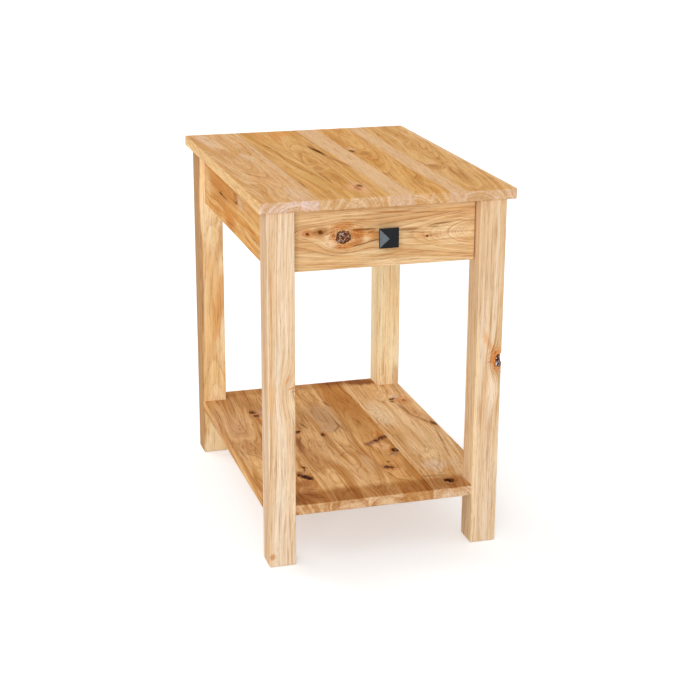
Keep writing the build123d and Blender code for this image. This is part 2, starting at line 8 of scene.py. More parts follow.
# %% Load the frame
import bmesh
import bpy
import math
from mathutils import Matrix, Vector


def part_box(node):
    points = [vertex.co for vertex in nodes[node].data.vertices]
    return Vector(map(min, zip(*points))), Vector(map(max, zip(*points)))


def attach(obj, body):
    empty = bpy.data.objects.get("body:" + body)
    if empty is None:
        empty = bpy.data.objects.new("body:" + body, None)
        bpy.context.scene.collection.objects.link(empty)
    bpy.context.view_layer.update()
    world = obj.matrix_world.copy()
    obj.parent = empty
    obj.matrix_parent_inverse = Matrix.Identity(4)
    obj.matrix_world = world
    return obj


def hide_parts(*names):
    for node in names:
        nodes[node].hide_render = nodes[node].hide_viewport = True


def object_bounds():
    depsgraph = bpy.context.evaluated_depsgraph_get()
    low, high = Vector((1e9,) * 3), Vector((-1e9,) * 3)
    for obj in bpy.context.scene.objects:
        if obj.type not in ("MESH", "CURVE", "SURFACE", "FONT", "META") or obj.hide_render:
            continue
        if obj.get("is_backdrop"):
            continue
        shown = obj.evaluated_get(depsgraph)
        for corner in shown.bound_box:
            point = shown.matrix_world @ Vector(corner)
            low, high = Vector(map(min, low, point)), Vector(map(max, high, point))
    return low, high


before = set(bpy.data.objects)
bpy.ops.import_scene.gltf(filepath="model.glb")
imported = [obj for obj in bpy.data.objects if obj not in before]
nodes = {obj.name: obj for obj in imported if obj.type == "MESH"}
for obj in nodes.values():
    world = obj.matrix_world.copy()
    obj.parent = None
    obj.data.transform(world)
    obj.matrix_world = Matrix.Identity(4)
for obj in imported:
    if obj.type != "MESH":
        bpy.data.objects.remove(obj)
cad_low, cad_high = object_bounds()
MM = 0.001
print(len(nodes), "parts, overall size", [round(v, 4) for v in cad_high - cad_low])

# %% [markdown]
# ## The camera
#
# The table is seen from a little above and from its left, almost three metres off, through a
# longish lens. The camera is turned by three angles, and its matrix is built from its own right,
# up and forward directions. There is no shift, and no depth of field.

# %% Camera
PICTURE_PIXELS = 700
SENSOR_WIDTH = 36.0
camera_place = Vector((-0.7456, -2.5417, 1.1399))
camera_turn = 0.2935
camera_dip = 0.3181
camera_roll = 0.0063
focal_pixels = 1570.8


def put(name, data):
    """A new object in the scene."""
    thing = bpy.data.objects.new(name, data)
    bpy.context.scene.collection.objects.link(thing)
    return thing


forward = Vector((math.sin(camera_turn) * math.cos(camera_dip),
                  math.cos(camera_turn) * math.cos(camera_dip), -math.sin(camera_dip)))
level_right = Vector((math.cos(camera_turn), -math.sin(camera_turn), 0))
level_up = level_right.cross(forward)
right = math.cos(camera_roll) * level_right + math.sin(camera_roll) * level_up
up = right.cross(forward)

camera_data = bpy.data.cameras.new("camera")
camera_data.sensor_width = SENSOR_WIDTH
camera_data.lens = focal_pixels * SENSOR_WIDTH / PICTURE_PIXELS
camera = put("camera", camera_data)
camera_axes = Matrix((right, up, -forward)).transposed()
camera.matrix_world = Matrix.Translation(camera_place) @ camera_axes.to_4x4()
bpy.context.scene.camera = camera
print("lens", round(camera_data.lens, 1), "mm")

# %% [markdown]
# ## A short way to write materials
#
# Wood needs many small nodes. The classes below keep them readable: each method adds one or a few
# nodes and gives back an output, and takes numbers, vectors or other outputs as its inputs. A
# colour is written as it looks on a screen, as three values from 0 to 255. A colour with four
# values is used as it is.


# %% Node writer
def tone(red, green, blue):
    """Screen values as the linear colour that shaders use."""
    def linear(value):
        value /= 255
        return value / 12.92 if value <= 0.04045 else ((value + 0.055) / 1.055) ** 2.4
    return (linear(red), linear(green), linear(blue), 1.0)


class Nodes:
    """Writes nodes into a tree."""

    def __init__(self, tree):
        self.tree = tree

    def add(self, kind, feeds=(), **settings):
        """A new node with its settings, and with what feeds its sockets, by name or number."""
        node = self.tree.nodes.new("ShaderNode" + kind)
        for key, value in settings.items():
            setattr(node, key, value)
        for key, value in dict(feeds).items():
            self.feed(node.inputs[key], value)
        return node

    def feed(self, socket, value):
        """Links an output to a socket, or sets a constant on it."""
        if isinstance(value, bpy.types.NodeSocket):
            self.tree.links.new(value, socket)
        elif socket.type == "RGBA" and len(value) == 3:
            socket.default_value = tone(*value)
        else:
            socket.default_value = value

    def math(self, operation, *values):
        return self.add("Math", enumerate(values), operation=operation).outputs[0]

    def times(self, first, second, plus=None):
        """Two values multiplied, and a third one added where there is one."""
        if plus is None:
            return self.math("MULTIPLY", first, second)
        return self.math("MULTIPLY_ADD", first, second, plus)


class Recipe(Nodes):
    """One material, written node by node."""

    def __init__(self, name):
        self.material = bpy.data.materials.new(name)
        self.material.use_nodes = True
        super().__init__(self.material.node_tree)
        self.tree.nodes.clear()
        self.shader = self.add("BsdfPrincipled")
        self.output = self.add("OutputMaterial", {0: self.shader.outputs[0]})

    def centred(self, value):
        """A value between 0 and 1, moved to lie about zero."""
        return self.math("SUBTRACT", value, 0.5)

    def vector(self, operation, *values):
        node = self.add("VectorMath", enumerate(values), operation=operation)
        return node.outputs["Value" if operation in ("LENGTH", "DOT_PRODUCT") else "Vector"]

    def scaled(self, source, amount):
        return self.add("VectorMath", {0: source, "Scale": amount}, operation="SCALE").outputs[0]

    def stretched(self, source, along):
        """The source drawn out along the log's own z axis."""
        return self.vector("MULTIPLY", source, (1, 1, along))

    def frame_of(self, source, place, turn=(0, 0, 0), size=(1, 1, 1)):
        """The source point as seen from a frame at a place, with its own turn and unit size."""
        feeds = {"Vector": source, "Location": place, "Rotation": turn, "Scale": size}
        return self.add("Mapping", feeds, vector_type="TEXTURE").outputs[0]

    def noise(self, source, scale, detail=2.0, roughness=0.5):
        feeds = {"Vector": source, "Scale": scale, "Detail": detail, "Roughness": roughness}
        return self.add("TexNoise", feeds).outputs["Fac"]

    def noise_along(self, source, scale, detail=1.0):
        feeds = {"W": source, "Scale": scale, "Detail": detail}
        return self.add("TexNoise", feeds, noise_dimensions="1D").outputs["Fac"]

    def fibres(self, source, along, scale, detail=2.0, roughness=0.5):
        """Noise drawn out along the grain."""
        return self.noise(self.stretched(source, along), scale, detail, roughness)

    def chance(self, number):
        """A random grey for each whole number."""
        return self.add("TexWhiteNoise", {"W": number}, noise_dimensions="1D").outputs["Value"]

    def sway(self, source, scale, detail=1.5):
        """A random push in every direction, about zero."""
        node = self.add("TexNoise", {"Vector": source, "Scale": scale, "Detail": detail})
        return self.vector("SUBTRACT", node.outputs["Color"], (0.5, 0.5, 0.5))

    def crackle(self, source, scale):
        """A random grey for each cell, and the distance from the gaps between cells."""
        cells = self.add("TexVoronoi", {"Vector": source, "Scale": scale})
        gaps = self.add("TexVoronoi", {"Vector": source, "Scale": scale}, feature="DISTANCE_TO_EDGE")
        return cells.outputs["Color"], gaps.outputs["Distance"]

    def between(self, value, low, high, out_low=0.0, out_high=1.0):
        """The value moved smoothly from one range to another, and held at its ends."""
        feeds = enumerate((value, low, high, out_low, out_high))
        return self.add("MapRange", feeds, interpolation_type="SMOOTHSTEP").outputs[0]

    def within(self, value, low, high, soft):
        """One between two limits and nothing outside them, with soft edges."""
        return self.times(self.between(value, low - soft, low + soft),
                          self.between(value, high - soft, high + soft, 1.0, 0.0))

    def swell(self, point):
        """A round hill, one at the frame's origin, that dies out about a unit away."""
        return self.math("EXPONENT", self.times(self.vector("DOT_PRODUCT", point, point), -1.0))

    def ramp(self, value, stops):
        """A grey or a colour for a value, from stops with a place and a level each."""
        node = self.add("ValToRGB", {0: value})
        band = node.color_ramp.elements
        while len(band) < len(stops):
            band.new(0.5)
        for element, (place, level) in zip(band, stops):
            element.position = place
            element.color = tone(*level) if isinstance(level, tuple) else (level, level, level, 1.0)
        return node.outputs[0]

    def blend(self, amount, first, second, kind="MIX"):
        """Two colours mixed; a mix node has its colour inputs at 6 and 7 and its result at 2."""
        feeds = {"Factor": amount, 6: first, 7: second}
        return self.add("Mix", feeds, data_type="RGBA", blend_type=kind).outputs[2]

    def tinted(self, colour, tint, amount=1.0):
        """The colour multiplied by a tint, in some measure."""
        return self.blend(amount, colour, self.blend(1.0, colour, tint, "MULTIPLY"))

    def dimmed(self, colour, level):
        """The colour times a grey level."""
        grey = self.add("CombineXYZ", enumerate([level] * 3)).outputs[0]
        return self.blend(1.0, colour, grey, "MULTIPLY")

    def painted(self, colour, point, cut, spots, blur, core, rim):
        """Soft-edged spots of colour on a face, each with its own size, turn and strength."""
        for *patch, paint, strength in spots:
            reach = self.vector("LENGTH", self.frame_of(point, *cut.patch(*patch)))
            reach = self.math("ADD", reach, blur)
            colour = self.blend(self.between(reach, core, rim, strength, 0.0), colour, paint)
        return colour

    def bump(self, height, depth, strength):
        feeds = {"Strength": strength, "Distance": depth, "Height": height}
        self.feed(self.shader.inputs["Normal"], self.add("Bump", feeds).outputs[0])

    def finish(self, **sockets):
        """Sets the shader's own sockets, by name."""
        for key, value in sockets.items():
            self.feed(self.shader.inputs[key.replace("_", " ")], value)
        return self.material


def dress(material, *names):
    """Gives one material to whole parts of the frame."""
    for name in names:
        nodes[name].data.materials.clear()
        nodes[name].data.materials.append(material)
    print("dressed", ", ".join(names))


# %% [markdown]
# ## Hickory, cut from a log
#
# A board shows a slice through a log's growth rings, so the rings are made in three dimensions:
# each board has its own pith line, usually somewhere under it, and a point's distance from that
# line says which year it grew in. Slicing that field gives arches on a face, straight lines on an
# edge and arcs on the end grain, all of them joined up over the corners. A knot is a branch: near
# it the fibres spread and flow round it, and inside it is dark and cracked, with bark round it and
# an orange stain in the wood beside it.
#
# The spots on a board are written in millimetres from a corner of its best face, so that they can
# be measured with a ruler.

# %% Hickory tones and measures
CREAM = (240, 208, 166)
STRAW = (226, 183, 126)
TAN = (212, 158, 98)
RUSSET = (196, 128, 62)
ORANGE = (208, 132, 60)
UMBER = (142, 84, 38)
BARK = (56, 24, 4)
STREAK = (102, 56, 20)
EARLY_LINE = (188, 132, 82)
DARK_THREAD = (206, 164, 120)
PALE_THREAD = (1.10, 1.12, 1.17, 1.0)
KNOT_RIPPLE = (170, 112, 70)
# The tint of painted shade, for the shelf's strips that lie in the table's shadow.
PAINTED_SHADE = (196, 164, 128)
HEART_BROWNS = ((0.0, (50, 24, 8)), (0.32, (92, 50, 24)), (0.46, (146, 86, 48)), (0.66, (178, 112, 66)))
YEAR = ((0.0, 1.0), (0.14, 0.72), (0.40, 0.20), (0.75, 0.0), (0.94, 0.0), (1.0, 1.0))

AXES = {"X": Vector((1, 0, 0)), "Y": Vector((0, 1, 0)), "Z": Vector((0, 0, 1))}
FAR = 1e3               # farther than anything on the table
SAP_AND_PAINTED_LIGHT_EDGE = 0.002        # how soft the edges of a band across the face (sapwood, and painted light on some side faces) and of a painted shade band along the grain are
SHADE_BAND_EDGE = 0.012
PARTING = 0.92          # how far fibres part round a knot, in widths of the parting
PARTING_WIDTH = 1.9     # and how wide and long that parting is, in knots
PARTING_LENGTH = 2.6
TORN = 0.006            # how ragged a stain's edge is, and a streak's
FRAYED = 0.0022
GRAIN_BUMP = 0.0005

# How fine each kind of unevenness is.
SWING_SCALE = 11
TEAR_SCALE = 190
RAGGED_SCALE = 150
PATCH_SCALE = 210
RIM_SCALE = 160
CELL_SCALE = 380
MOTTLE_SCALE = 620

# Each kind of fibre: how it is drawn out along the grain, how fine it is, its detail and roughness.
FLAME = (0.13, 27)
FADING = (0.16, 44, 1.0)
BROAD = (0.045, 105)
THREAD = (0.022, 290, 3.0, 0.62)
FIBRE = (0.030, 640, 3.0, 0.6)
PORE = (0.045, 1150, 1.0)

# What makes one stretch of wood darker than the next, as shares of the whole.
FLAME_SHARE, SPELL_SHARE, CHANCE_SHARE, BROAD_SHARE = 0.24, 0.36, 0.14, 0.26


def measured_from(first, second, step=1, fall=-1):
    """Turns millimetres from a corner of a face into a spot on it."""
    return lambda across, down: (first + step * across * MM, second + fall * down * MM)


class Cut:
    """How a board was sawn: the axis its grain runs along, the two axes of its best face, how
    spots are measured on that face, and where it lies and how deep its knots reach."""

    def __init__(self, grain, face, spots, level, reach):
        self.grain, self.face, self.spots, self.level, self.reach = grain, face, spots, level, reach
        self.across = next(axis for axis in face if axis != grain)
        self.inward = next(axis for axis in "XYZ" if axis not in face)

    def patch(self, across, down, width, length, angle=0):
        """The place, turn and size of a patch: its spot, its sizes across and along the grain, and
        its turn in degrees within the face."""
        spot = dict(zip(self.face, self.spots(across, down)))
        size = {self.across: width * MM, self.grain: length * MM, self.inward: self.reach}
        return ([spot.get(axis, self.level) for axis in "XYZ"],
                [math.radians(angle) if axis == self.inward else 0.0 for axis in "XYZ"],
                [size[axis] for axis in "XYZ"])


# %% Bend the fibres and rings
def spread_fibres(wood, point, cut, knots):
    """Moves the wood's own coordinates so that its fibres part before a knot and close behind it."""
    bent = point
    for across, down, radius, stretch, _, weight in knots:
        width = radius * PARTING_WIDTH
        patch = cut.patch(across, down, width, radius * stretch * PARTING_LENGTH)
        eye = wood.frame_of(point, *patch)
        swell = wood.swell(eye)
        push = AXES[cut.across] * (-PARTING * width * MM * weight)
        sideways = wood.vector("MULTIPLY", eye, tuple(push))
        bent = wood.vector("ADD", bent, wood.scaled(sideways, swell))
    return bent


def raise_rings(wood, bent, point, cut, mounds):
    """Lifts the rings under a spot, as over a hidden branch, so that the cut shows closed loops."""
    for *patch, rise in mounds:
        swell = wood.swell(wood.frame_of(point, *cut.patch(*patch)))
        bent = wood.vector("ADD", bent, wood.scaled(tuple(AXES[cut.inward] * (rise * MM)), swell))
    return bent


def log_points(wood, point, cut, pith, lean, seed, wander, knots, mounds):
    """The log's own coordinates, for its rings and for its fibres, both wavering a little."""
    others = [AXES[axis] for axis in "XYZ" if axis != cut.grain]
    direction = AXES[cut.grain] + others[0] * lean[0] + others[1] * lean[1]
    tilt = direction.to_track_quat("Z", "Y").to_euler()
    bent = spread_fibres(wood, point, cut, knots)
    shaken = wood.vector("ADD", wood.frame_of(bent, pith, tilt), (seed, seed * 1.7, seed * 0.6))
    swing = wood.sway(wood.stretched(shaken, 0.30), SWING_SCALE)
    swing = wood.vector("MULTIPLY", swing, (wander * 3, wander * 3, 0))
    log = wood.frame_of(raise_rings(wood, bent, point, cut, mounds), pith, tilt)
    return wood.vector("ADD", log, swing), wood.vector("ADD", shaken, swing)


def growth_rings(wood, log, ring_gap):
    """The sharp porous line that starts each year and fades, and how dark each year is, as no two
    are alike: by chance, and in spells of good and bad years."""
    years = wood.vector("LENGTH", wood.vector("MULTIPLY", log, (1, 1, 0)))
    years = wood.math("DIVIDE", years, ring_gap)
    years = wood.times(wood.noise_along(years, 0.21), 3.6, years)
    chance = wood.chance(wood.math("FLOOR", years))
    early = wood.ramp(wood.math("FRACT", years), YEAR)
    spell = wood.between(wood.noise_along(years, 0.30, detail=1.5), 0.32, 0.68)
    return early, chance, spell


# %% Knots
def knot_wood(wood, colour, point, torn, frayed, cut, knots, ash, rugged, halo):
    """A patchy orange stain round a bark ring, and a cracked, grey and brown heart. Gives back the
    colour and where the wood is cracked."""
    ragged = wood.centred(wood.noise(point, RAGGED_SCALE, detail=3.0))
    nearest = FAR
    for across, down, radius, stretch, angle, _ in knots:
        near = wood.frame_of(torn, *cut.patch(across, down, radius, radius * stretch, angle))
        nearest = wood.math("MINIMUM", nearest, wood.vector("LENGTH", near))

    around = wood.times(ragged, 1.3, nearest)
    patches = wood.between(wood.noise(point, PATCH_SCALE), 0.38, 0.58, 0.35, 1.0)
    stain = wood.times(wood.between(around, 0.9, 2.2, halo, 0.0), patches)
    colour = wood.blend(stain, colour, wood.blend(0.75, colour, ORANGE))
    ripple = wood.between(wood.math("SINE", wood.times(around, 20.0)), 0.3, 1.0)
    ripple = wood.times(ripple, wood.between(around, 1.4, 3.0, 0.75, 0.0))
    colour = wood.tinted(colour, KNOT_RIPPLE, wood.times(ripple, patches))

    close = wood.times(ragged, rugged, nearest)
    cells, gaps = wood.crackle(frayed, CELL_SCALE)
    mottle = wood.centred(wood.noise(frayed, MOTTLE_SCALE, detail=3.0))
    heart = wood.ramp(wood.times(mottle, 1.7, cells), (*HEART_BROWNS, (0.75, ash), (1.0, ash)))
    heart = wood.blend(wood.between(gaps, 0.01, 0.20, 0.75, 0.0), heart, BARK)
    colour = wood.blend(wood.between(close, 0.86, 1.02, 1.0, 0.0), colour, heart)
    rim = wood.times(wood.between(close, 0.84, 0.93), wood.between(close, 0.97, 1.08, 1.0, 0.0))
    worn = wood.noise(point, RIM_SCALE, detail=1.0)
    rim = wood.times(rim, wood.between(worn, 0.38, 0.50, 0.3, 1.0))
    colour = wood.blend(wood.times(rim, 0.95), colour, BARK)
    split = wood.times(wood.between(gaps, 0.02, 0.12, 1.0, 0.0),
                       wood.between(close, 0.7, 0.9, 1.0, 0.0))
    return colour, wood.math("MAXIMUM", rim, split)


# %% A varnished board
def hickory(name, grain, face, pith, lean=(0.0, 0.0), seed=0.0, spots=measured_from(0, 0), level=0.0,
            reach=FAR, ring_gap=0.0034, light=STRAW, dark=TAN, sap=CREAM, ash=(150, 122, 104),
            sap_bands=(), knots=(), swirls=(), mounds=(), streaks=(), stains=(), marks=(), shade_bands=(),
            rugged=0.5, ring_strength=0.5, wander=0.006, figure=1.0, fine=0.42, threads=0.5,
            halo=0.75, end=(1.0, 1.0, 1.0)):
    """A varnished hickory board.

    grain and face name axes; pith is a point on the log's centre line and lean its slopes.
    knots, and swirls beside a hidden knot, are (across, down, radius, stretch, turn, weight);
    mounds are (across, down, width, length, turn, rise); streaks, stains and marks are (across,
    down, width, length, turn, colour, strength); bands across the face are (low, high), and carry
    pale sapwood on some boards, and on others paint light or shade on a side face. All of
    these are in millimetres, and spots turns them into places on the face, which lies at level and
    whose knots go as deep as reach. Bands along the grain, of painted shade where the table's shadow
    falls, are (low, high, strength), in metres.
    ash is the palest tone of a knot's heart, rugged how uneven its edge is and halo how strong its
    stain is; wander is how far the rings stray, figure how boldly light and dark wood differ, fine
    and threads how strong the small lines are, and end tints the end grain.
    """
    wood = Recipe(name)
    cut = Cut(grain, face, spots, level, reach)
    coordinates = wood.add("TexCoord")
    point, normal = coordinates.outputs["Object"], coordinates.outputs["Normal"]
    facing = wood.math("ABSOLUTE", wood.vector("DOT_PRODUCT", normal, tuple(AXES[grain])))
    facing = wood.between(facing, 0.6, 0.95)
    log, shaken = log_points(wood, point, cut, pith, lean, seed, wander, (*knots, *swirls), mounds)
    squeeze = [0.35 if axis == grain else 1.0 for axis in "XYZ"]
    tear = wood.sway(wood.vector("MULTIPLY", point, squeeze), TEAR_SCALE, 3.0)
    torn, frayed = (wood.vector("ADD", point, wood.scaled(tear, pull)) for pull in (TORN, FRAYED))

    # Fibres, long and thin along the grain, from broad flames to threads, fine lines and pores.
    early, chance, spell = growth_rings(wood, log, ring_gap)
    flame = wood.between(wood.fibres(shaken, *FLAME), 0.33, 0.67)
    broad, thread, fibre = (wood.fibres(shaken, *kind) for kind in (BROAD, THREAD, FIBRE))
    fading = wood.between(wood.fibres(shaken, *FADING), 0.34, 0.60)
    line = wood.times(early, wood.times(fading, 0.65, 0.35))
    line = wood.times(line, wood.times(chance, 0.75, 0.25))
    pores = wood.between(wood.fibres(shaken, *PORE), 0.55, 0.70)
    pores = wood.times(pores, wood.times(early, 0.7, 0.3))

    # Colour: light and dark wood, pale sapwood, stains, then rings, threads, fibres and pores.
    mix = wood.times(flame, FLAME_SHARE, wood.times(spell, SPELL_SHARE))
    mix = wood.times(chance, CHANCE_SHARE, mix)
    mix = wood.times(wood.between(broad, 0.34, 0.66), BROAD_SHARE, mix)
    spread = 0.36 / figure
    colour = wood.blend(wood.between(mix, 0.5 - spread, 0.5 + spread), light, dark)
    place = wood.add("SeparateXYZ", {0: point})
    edge = wood.times(wood.centred(flame), 0.006, place.outputs[cut.across])
    # Bands across the face: pale sapwood, and on some boards painted light or shade on a side face.
    for limits in sap_bands:
        low, high = (spots(limit, limit)[face.index(cut.across)] for limit in limits)
        inside = wood.within(edge, low, high, SAP_AND_PAINTED_LIGHT_EDGE)
        inside = wood.times(inside, wood.times(facing, -0.55, 0.8))
        colour = wood.blend(inside, colour, sap)
    blur = wood.times(wood.centred(broad), 1.5, wood.times(wood.centred(flame), 0.5))
    colour = wood.painted(colour, torn, cut, stains, blur, 0.45, 1.45)
    colour = wood.tinted(colour, EARLY_LINE, wood.times(line, ring_strength))
    colour = wood.tinted(colour, DARK_THREAD, wood.between(thread, 0.53, 0.66, 0.0, threads))
    colour = wood.tinted(colour, PALE_THREAD, wood.between(thread, 0.47, 0.34, 0.0, threads))
    grainy = wood.times(fibre, fine, 1 - fine / 2)
    grainy = wood.times(wood.centred(broad), 0.18, grainy)
    colour = wood.dimmed(colour, grainy)
    colour = wood.blend(wood.times(pores, 0.5), colour, UMBER)
    colour = wood.painted(colour, frayed, cut, streaks, wood.times(blur, 0.35), 0.30, 1.10)
    crack = 0.0
    if knots:
        colour, crack = knot_wood(wood, colour, point, torn, frayed, cut, knots, ash, rugged, halo)
    colour = wood.painted(colour, torn, cut, marks, blur, 0.55, 1.05)
    # Painted shade: bands along the grain are darkened where the table's shadow falls.
    for low, high, strength in shade_bands:
        inside = wood.within(place.outputs[grain], low, high, SHADE_BAND_EDGE)
        colour = wood.tinted(colour, PAINTED_SHADE, wood.times(inside, strength))

    # End grain takes the varnish differently from the faces, and dark wood is the dullest.
    colour = wood.tinted(colour, (*end, 1.0), facing)
    height = wood.times(pores, -0.9, wood.times(fibre, 0.35))
    height = wood.times(line, -0.25, height)
    height = wood.times(crack, -2.0, height)
    wood.bump(height, GRAIN_BUMP, 0.35)
    rough = wood.times(fibre, 0.16, 0.42)
    grey = wood.add("RGBToBW", {0: colour}).outputs[0]
    rough = wood.math("MAXIMUM", rough, wood.between(grey, 0.03, 0.14, 0.95, 0.0))
    return wood.finish(Base_Color=colour, Roughness=rough, Specular_IOR_Level=0.01)


# %% [markdown]
# ## The top
#
# Five boards are glued edge to edge, so each has its own log, and the joints show only as a change
# of tone and figure. Spots are measured from the top's left rear corner, along its width and depth.

# %% Top boards
TOP = dict(light=(235, 185, 118), dark=(212, 153, 79), sap=(236, 195, 149), end=(0.93, 1.08, 1.72),
           ring_gap=0.0025, ring_strength=0.42, threads=0.42)
PINK = (238, 182, 136)
COFFEE = (112, 56, 4)
top_low, top_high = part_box("top_board_1")[0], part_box("top_board_5")[1]


def flat_board(part, material, low, high, pith, **look):
    """Dresses a board that lies flat, with its grain from back to front. low and high are the
    corners of the whole panel; the pith is given from its left edge and down from its surface."""
    across, depth = pith
    log = (low.x + across * MM, 0.0, high.z - depth * MM)
    dress(hickory(material, "Y", "XY", log, spots=measured_from(low.x, high.y), **look), part)


def top_board(number, pith, **look):
    flat_board(f"top_board_{number}", f"top_hickory_{number}", top_low, top_high, pith, **dict(TOP, **look))


top_board(
    1, pith=(44, 34), lean=(-0.05, 0.05), seed=0.3,
    # Painted light: the band at the left edge and the first stain paint the left side face and rim paler, as
    # where light falls from the left.
    light=(238, 193, 140), dark=(219, 164, 100), sap=(255, 234, 184), sap_bands=[(-10, 1.2)],
    mounds=[(66, 212, 16, 30, 0, 12), (30, 470, 18, 60, -8, 14)],
    stains=[(0, 289, 2.6, 500, 0, (244, 203, 144), 0.85), (24, 70, 14, 60, 0, (238, 204, 172), 0.55),
            (37, 190, 8, 45, 6, RUSSET, 0.5), (74, 172, 15, 26, 0, TAN, 0.6),
            (62, 232, 15, 30, 6, (232, 196, 154), 0.65), (70, 530, 12, 40, 0, (235, 200, 166), 0.5),
            (91, 300, 4.5, 300, 0, (238, 204, 166), 0.55)],
    streaks=[(74, 208, 2.2, 14, -12, RUSSET, 0.7)],
)
top_board(
    2, pith=(165, 45), lean=(-0.03, 0.02), seed=1.1,
    stains=[(128, 50, 14, 40, 0, (225, 155, 83), 0.6), (130, 440, 12, 50, 0, (217, 168, 93), 0.6)],
    streaks=[(119, 146, 2.2, 22, 15, COFFEE, 0.65), (123, 230, 1.8, 60, -2, UMBER, 0.6),
             (128, 345, 2, 60, 8, UMBER, 0.6), (98, 465, 2.6, 35, 0, UMBER, 0.6)],
)
top_board(
    3, pith=(160, 36), lean=(0.05, -0.04), seed=2.2, sap_bands=[(211, 260)],
    mounds=[(158, 350, 14, 30, 0, 14)],
    stains=[(174, 28, 20, 24, 0, (229, 153, 74), 0.6), (152, 60, 7, 40, 0, (227, 153, 80), 0.5),
            (158, 350, 10, 22, 0, (191, 126, 67), 0.6), (178, 505, 20, 36, 0, PINK, 0.7),
            (175, 515, 5, 14, 0, (206, 131, 83), 0.85)],
    streaks=[(195, 206, 6.4, 62, 5, COFFEE, 1), (205, 300, 5, 70, 8, (170, 115, 61), 0.75),
             (147, 420, 1.8, 80, 0, UMBER, 0.5)],
    knots=[(184, 494, 3, 1.6, 10, 0.8)],
    marks=[(181, 500, 5.8, 12, 14, (150, 84, 36), 0.8)],
)
top_board(
    4, pith=(268, 32), lean=(0.08, 0.05), seed=3.4,
    light=(235, 182, 112), dark=(212, 150, 74), sap_bands=[(306, 345)],
    mounds=[(264, 246, 12, 22, 0, 14), (290, 500, 14, 40, -14, 12)],
    stains=[(266, 250, 10, 18, -15, (187, 124, 52), 0.75), (258, 202, 10, 14, 0, (235, 192, 147), 0.7),
            (288, 480, 14, 40, -14, (204, 145, 74), 0.5)],
    streaks=[(253, 222, 6.2, 19, 3, (104, 60, 14), 0.9), (292, 455, 2.2, 24, -28, UMBER, 0.5)],
)
top_board(
    5, pith=(380, 30), lean=(0.10, 0.05), seed=4.9,
    light=(235, 187, 124), dark=(212, 155, 86), sap_bands=[(410, 440)],
    mounds=[(352, 376, 15, 26, 0, 20), (380, 150, 14, 40, 0, 10)],
    stains=[(349, 385, 12, 22, 0, (193, 131, 69), 0.65), (350, 358, 9, 8, 0, (236, 194, 145), 0.7)],
    streaks=[(371, 365, 2.2, 18, -10, UMBER, 0.6), (339, 362, 1.8, 12, 0, UMBER, 0.55),
             (362, 400, 2, 14, -30, UMBER, 0.5)],
)

# %% [markdown]
# ## Legs
#
# The legs are the palest wood: straight sapwood, a little wavy, with the pith well outside the leg.
# Only the front right one keeps an open knot on its corner, where a branch has fallen out; the
# stain round it runs deep orange, and what is left of the knot is grey. Spots are measured from the
# left edge of a leg's front face, and down from its top.

# %% Legs
LEG = dict(ring_strength=0.42, wander=0.005, threads=0.55, end=(0.8, 0.75, 0.7), reach=0.016)
leg_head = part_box("leg_front_left")[1].z
rear_leg_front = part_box("leg_rear_left")[0].y


def leg(corner, pith, **look):
    """Dresses a leg. Its pith is beside it, given from its left front corner."""
    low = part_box("leg_" + corner)[0]
    log = (low.x + pith[0] * MM, low.y + pith[1] * MM, 0.3)
    dress(hickory("leg_hickory_" + corner, "Z", "XZ", log, spots=measured_from(low.x, leg_head),
                  level=low.y, **dict(LEG, **look)), "leg_" + corner)


leg(
    "front_left", pith=(140, 60), lean=(0.006, 0.015), seed=5.0,
    light=(238, 215, 186), dark=(223, 186, 144),
    mounds=[(42, 312, 10, 24, 0, 14)],
    swirls=[(50, 292, 13, 1.1, 0, 1.1)],
    stains=[(5, 574, 5, 5, 0, RUSSET, 0.7), (38, 310, 8, 18, 0, CREAM, 0.7),
            (5, 300, 6, 30, 0, (226, 174, 114), 0.5)],
    streaks=[(31, 272, 2, 13, 18, (213, 143, 73), 0.85), (39, 285, 2, 9, 68, (205, 131, 63), 0.9),
             (42, 291, 1.8, 6, 85, UMBER, 0.5)],
)
leg(
    "front_right", pith=(-95, 60), lean=(0.01, 0.02), seed=6.3, light=(236, 210, 179),
    # Painted light: the band at the left edge paints the leg's left side face paler, standing for light on
    # it.
    dark=(218, 179, 133), sap=(243, 211, 166), sap_bands=[(-10, 3)], ash=(214, 214, 223), halo=0.95,
    knots=[(41, 270, 7.8, 1.35, 0, 1.5)],
    mounds=[(32, 322, 11, 24, 0, 16)],
    stains=[(35, 266, 13, 24, 0, (222, 140, 68), 0.95), (22, 240, 5, 20, -24, (222, 159, 97), 0.6),
            (30, 322, 12, 26, 0, (246, 220, 189), 0.85)],
    streaks=[(27, 254, 1, 11, 52, UMBER, 0.6), (30, 246, 0.9, 11, 30, UMBER, 0.6),
             (37, 240, 0.9, 10, 8, UMBER, 0.6), (24, 272, 0.9, 10, 80, UMBER, 0.5),
             (30, 290, 0.9, 10, -40, UMBER, 0.5)],
    marks=[(37, 276, 3, 6, 20, (206, 206, 217), 0.85)],
)
leg(
    "rear_left", pith=(20, 48), lean=(0.012, 0.05), seed=7.7, light=(253, 227, 184),
    # Painted shade: the band at the left edge paints the leg's left side face darker, as shade under the
    # top's overhang.
    dark=(231, 189, 126), sap=(175, 126, 77), sap_bands=[(-10, 3)],
    ring_strength=0.22, wander=0.011, threads=0.4,
    swirls=[(24, 300, 8, 2, 0, 0.7)],
    stains=[(33, 300, 8, 60, 8, (220, 158, 88), 0.75), (20, 230, 10, 50, -12, (236, 190, 132), 0.6),
            (40, 170, 6, 40, 10, (206, 150, 92), 0.6), (12, 360, 8, 60, 6, (240, 196, 138), 0.7)],
)
leg(
    "rear_right", pith=(-80, 70), lean=(0.008, 0.03), seed=8.8,
    light=(255, 238, 196), dark=(247, 211, 158),
    stains=[(38, 470, 6, 20, 0, RUSSET, 0.5)],
)

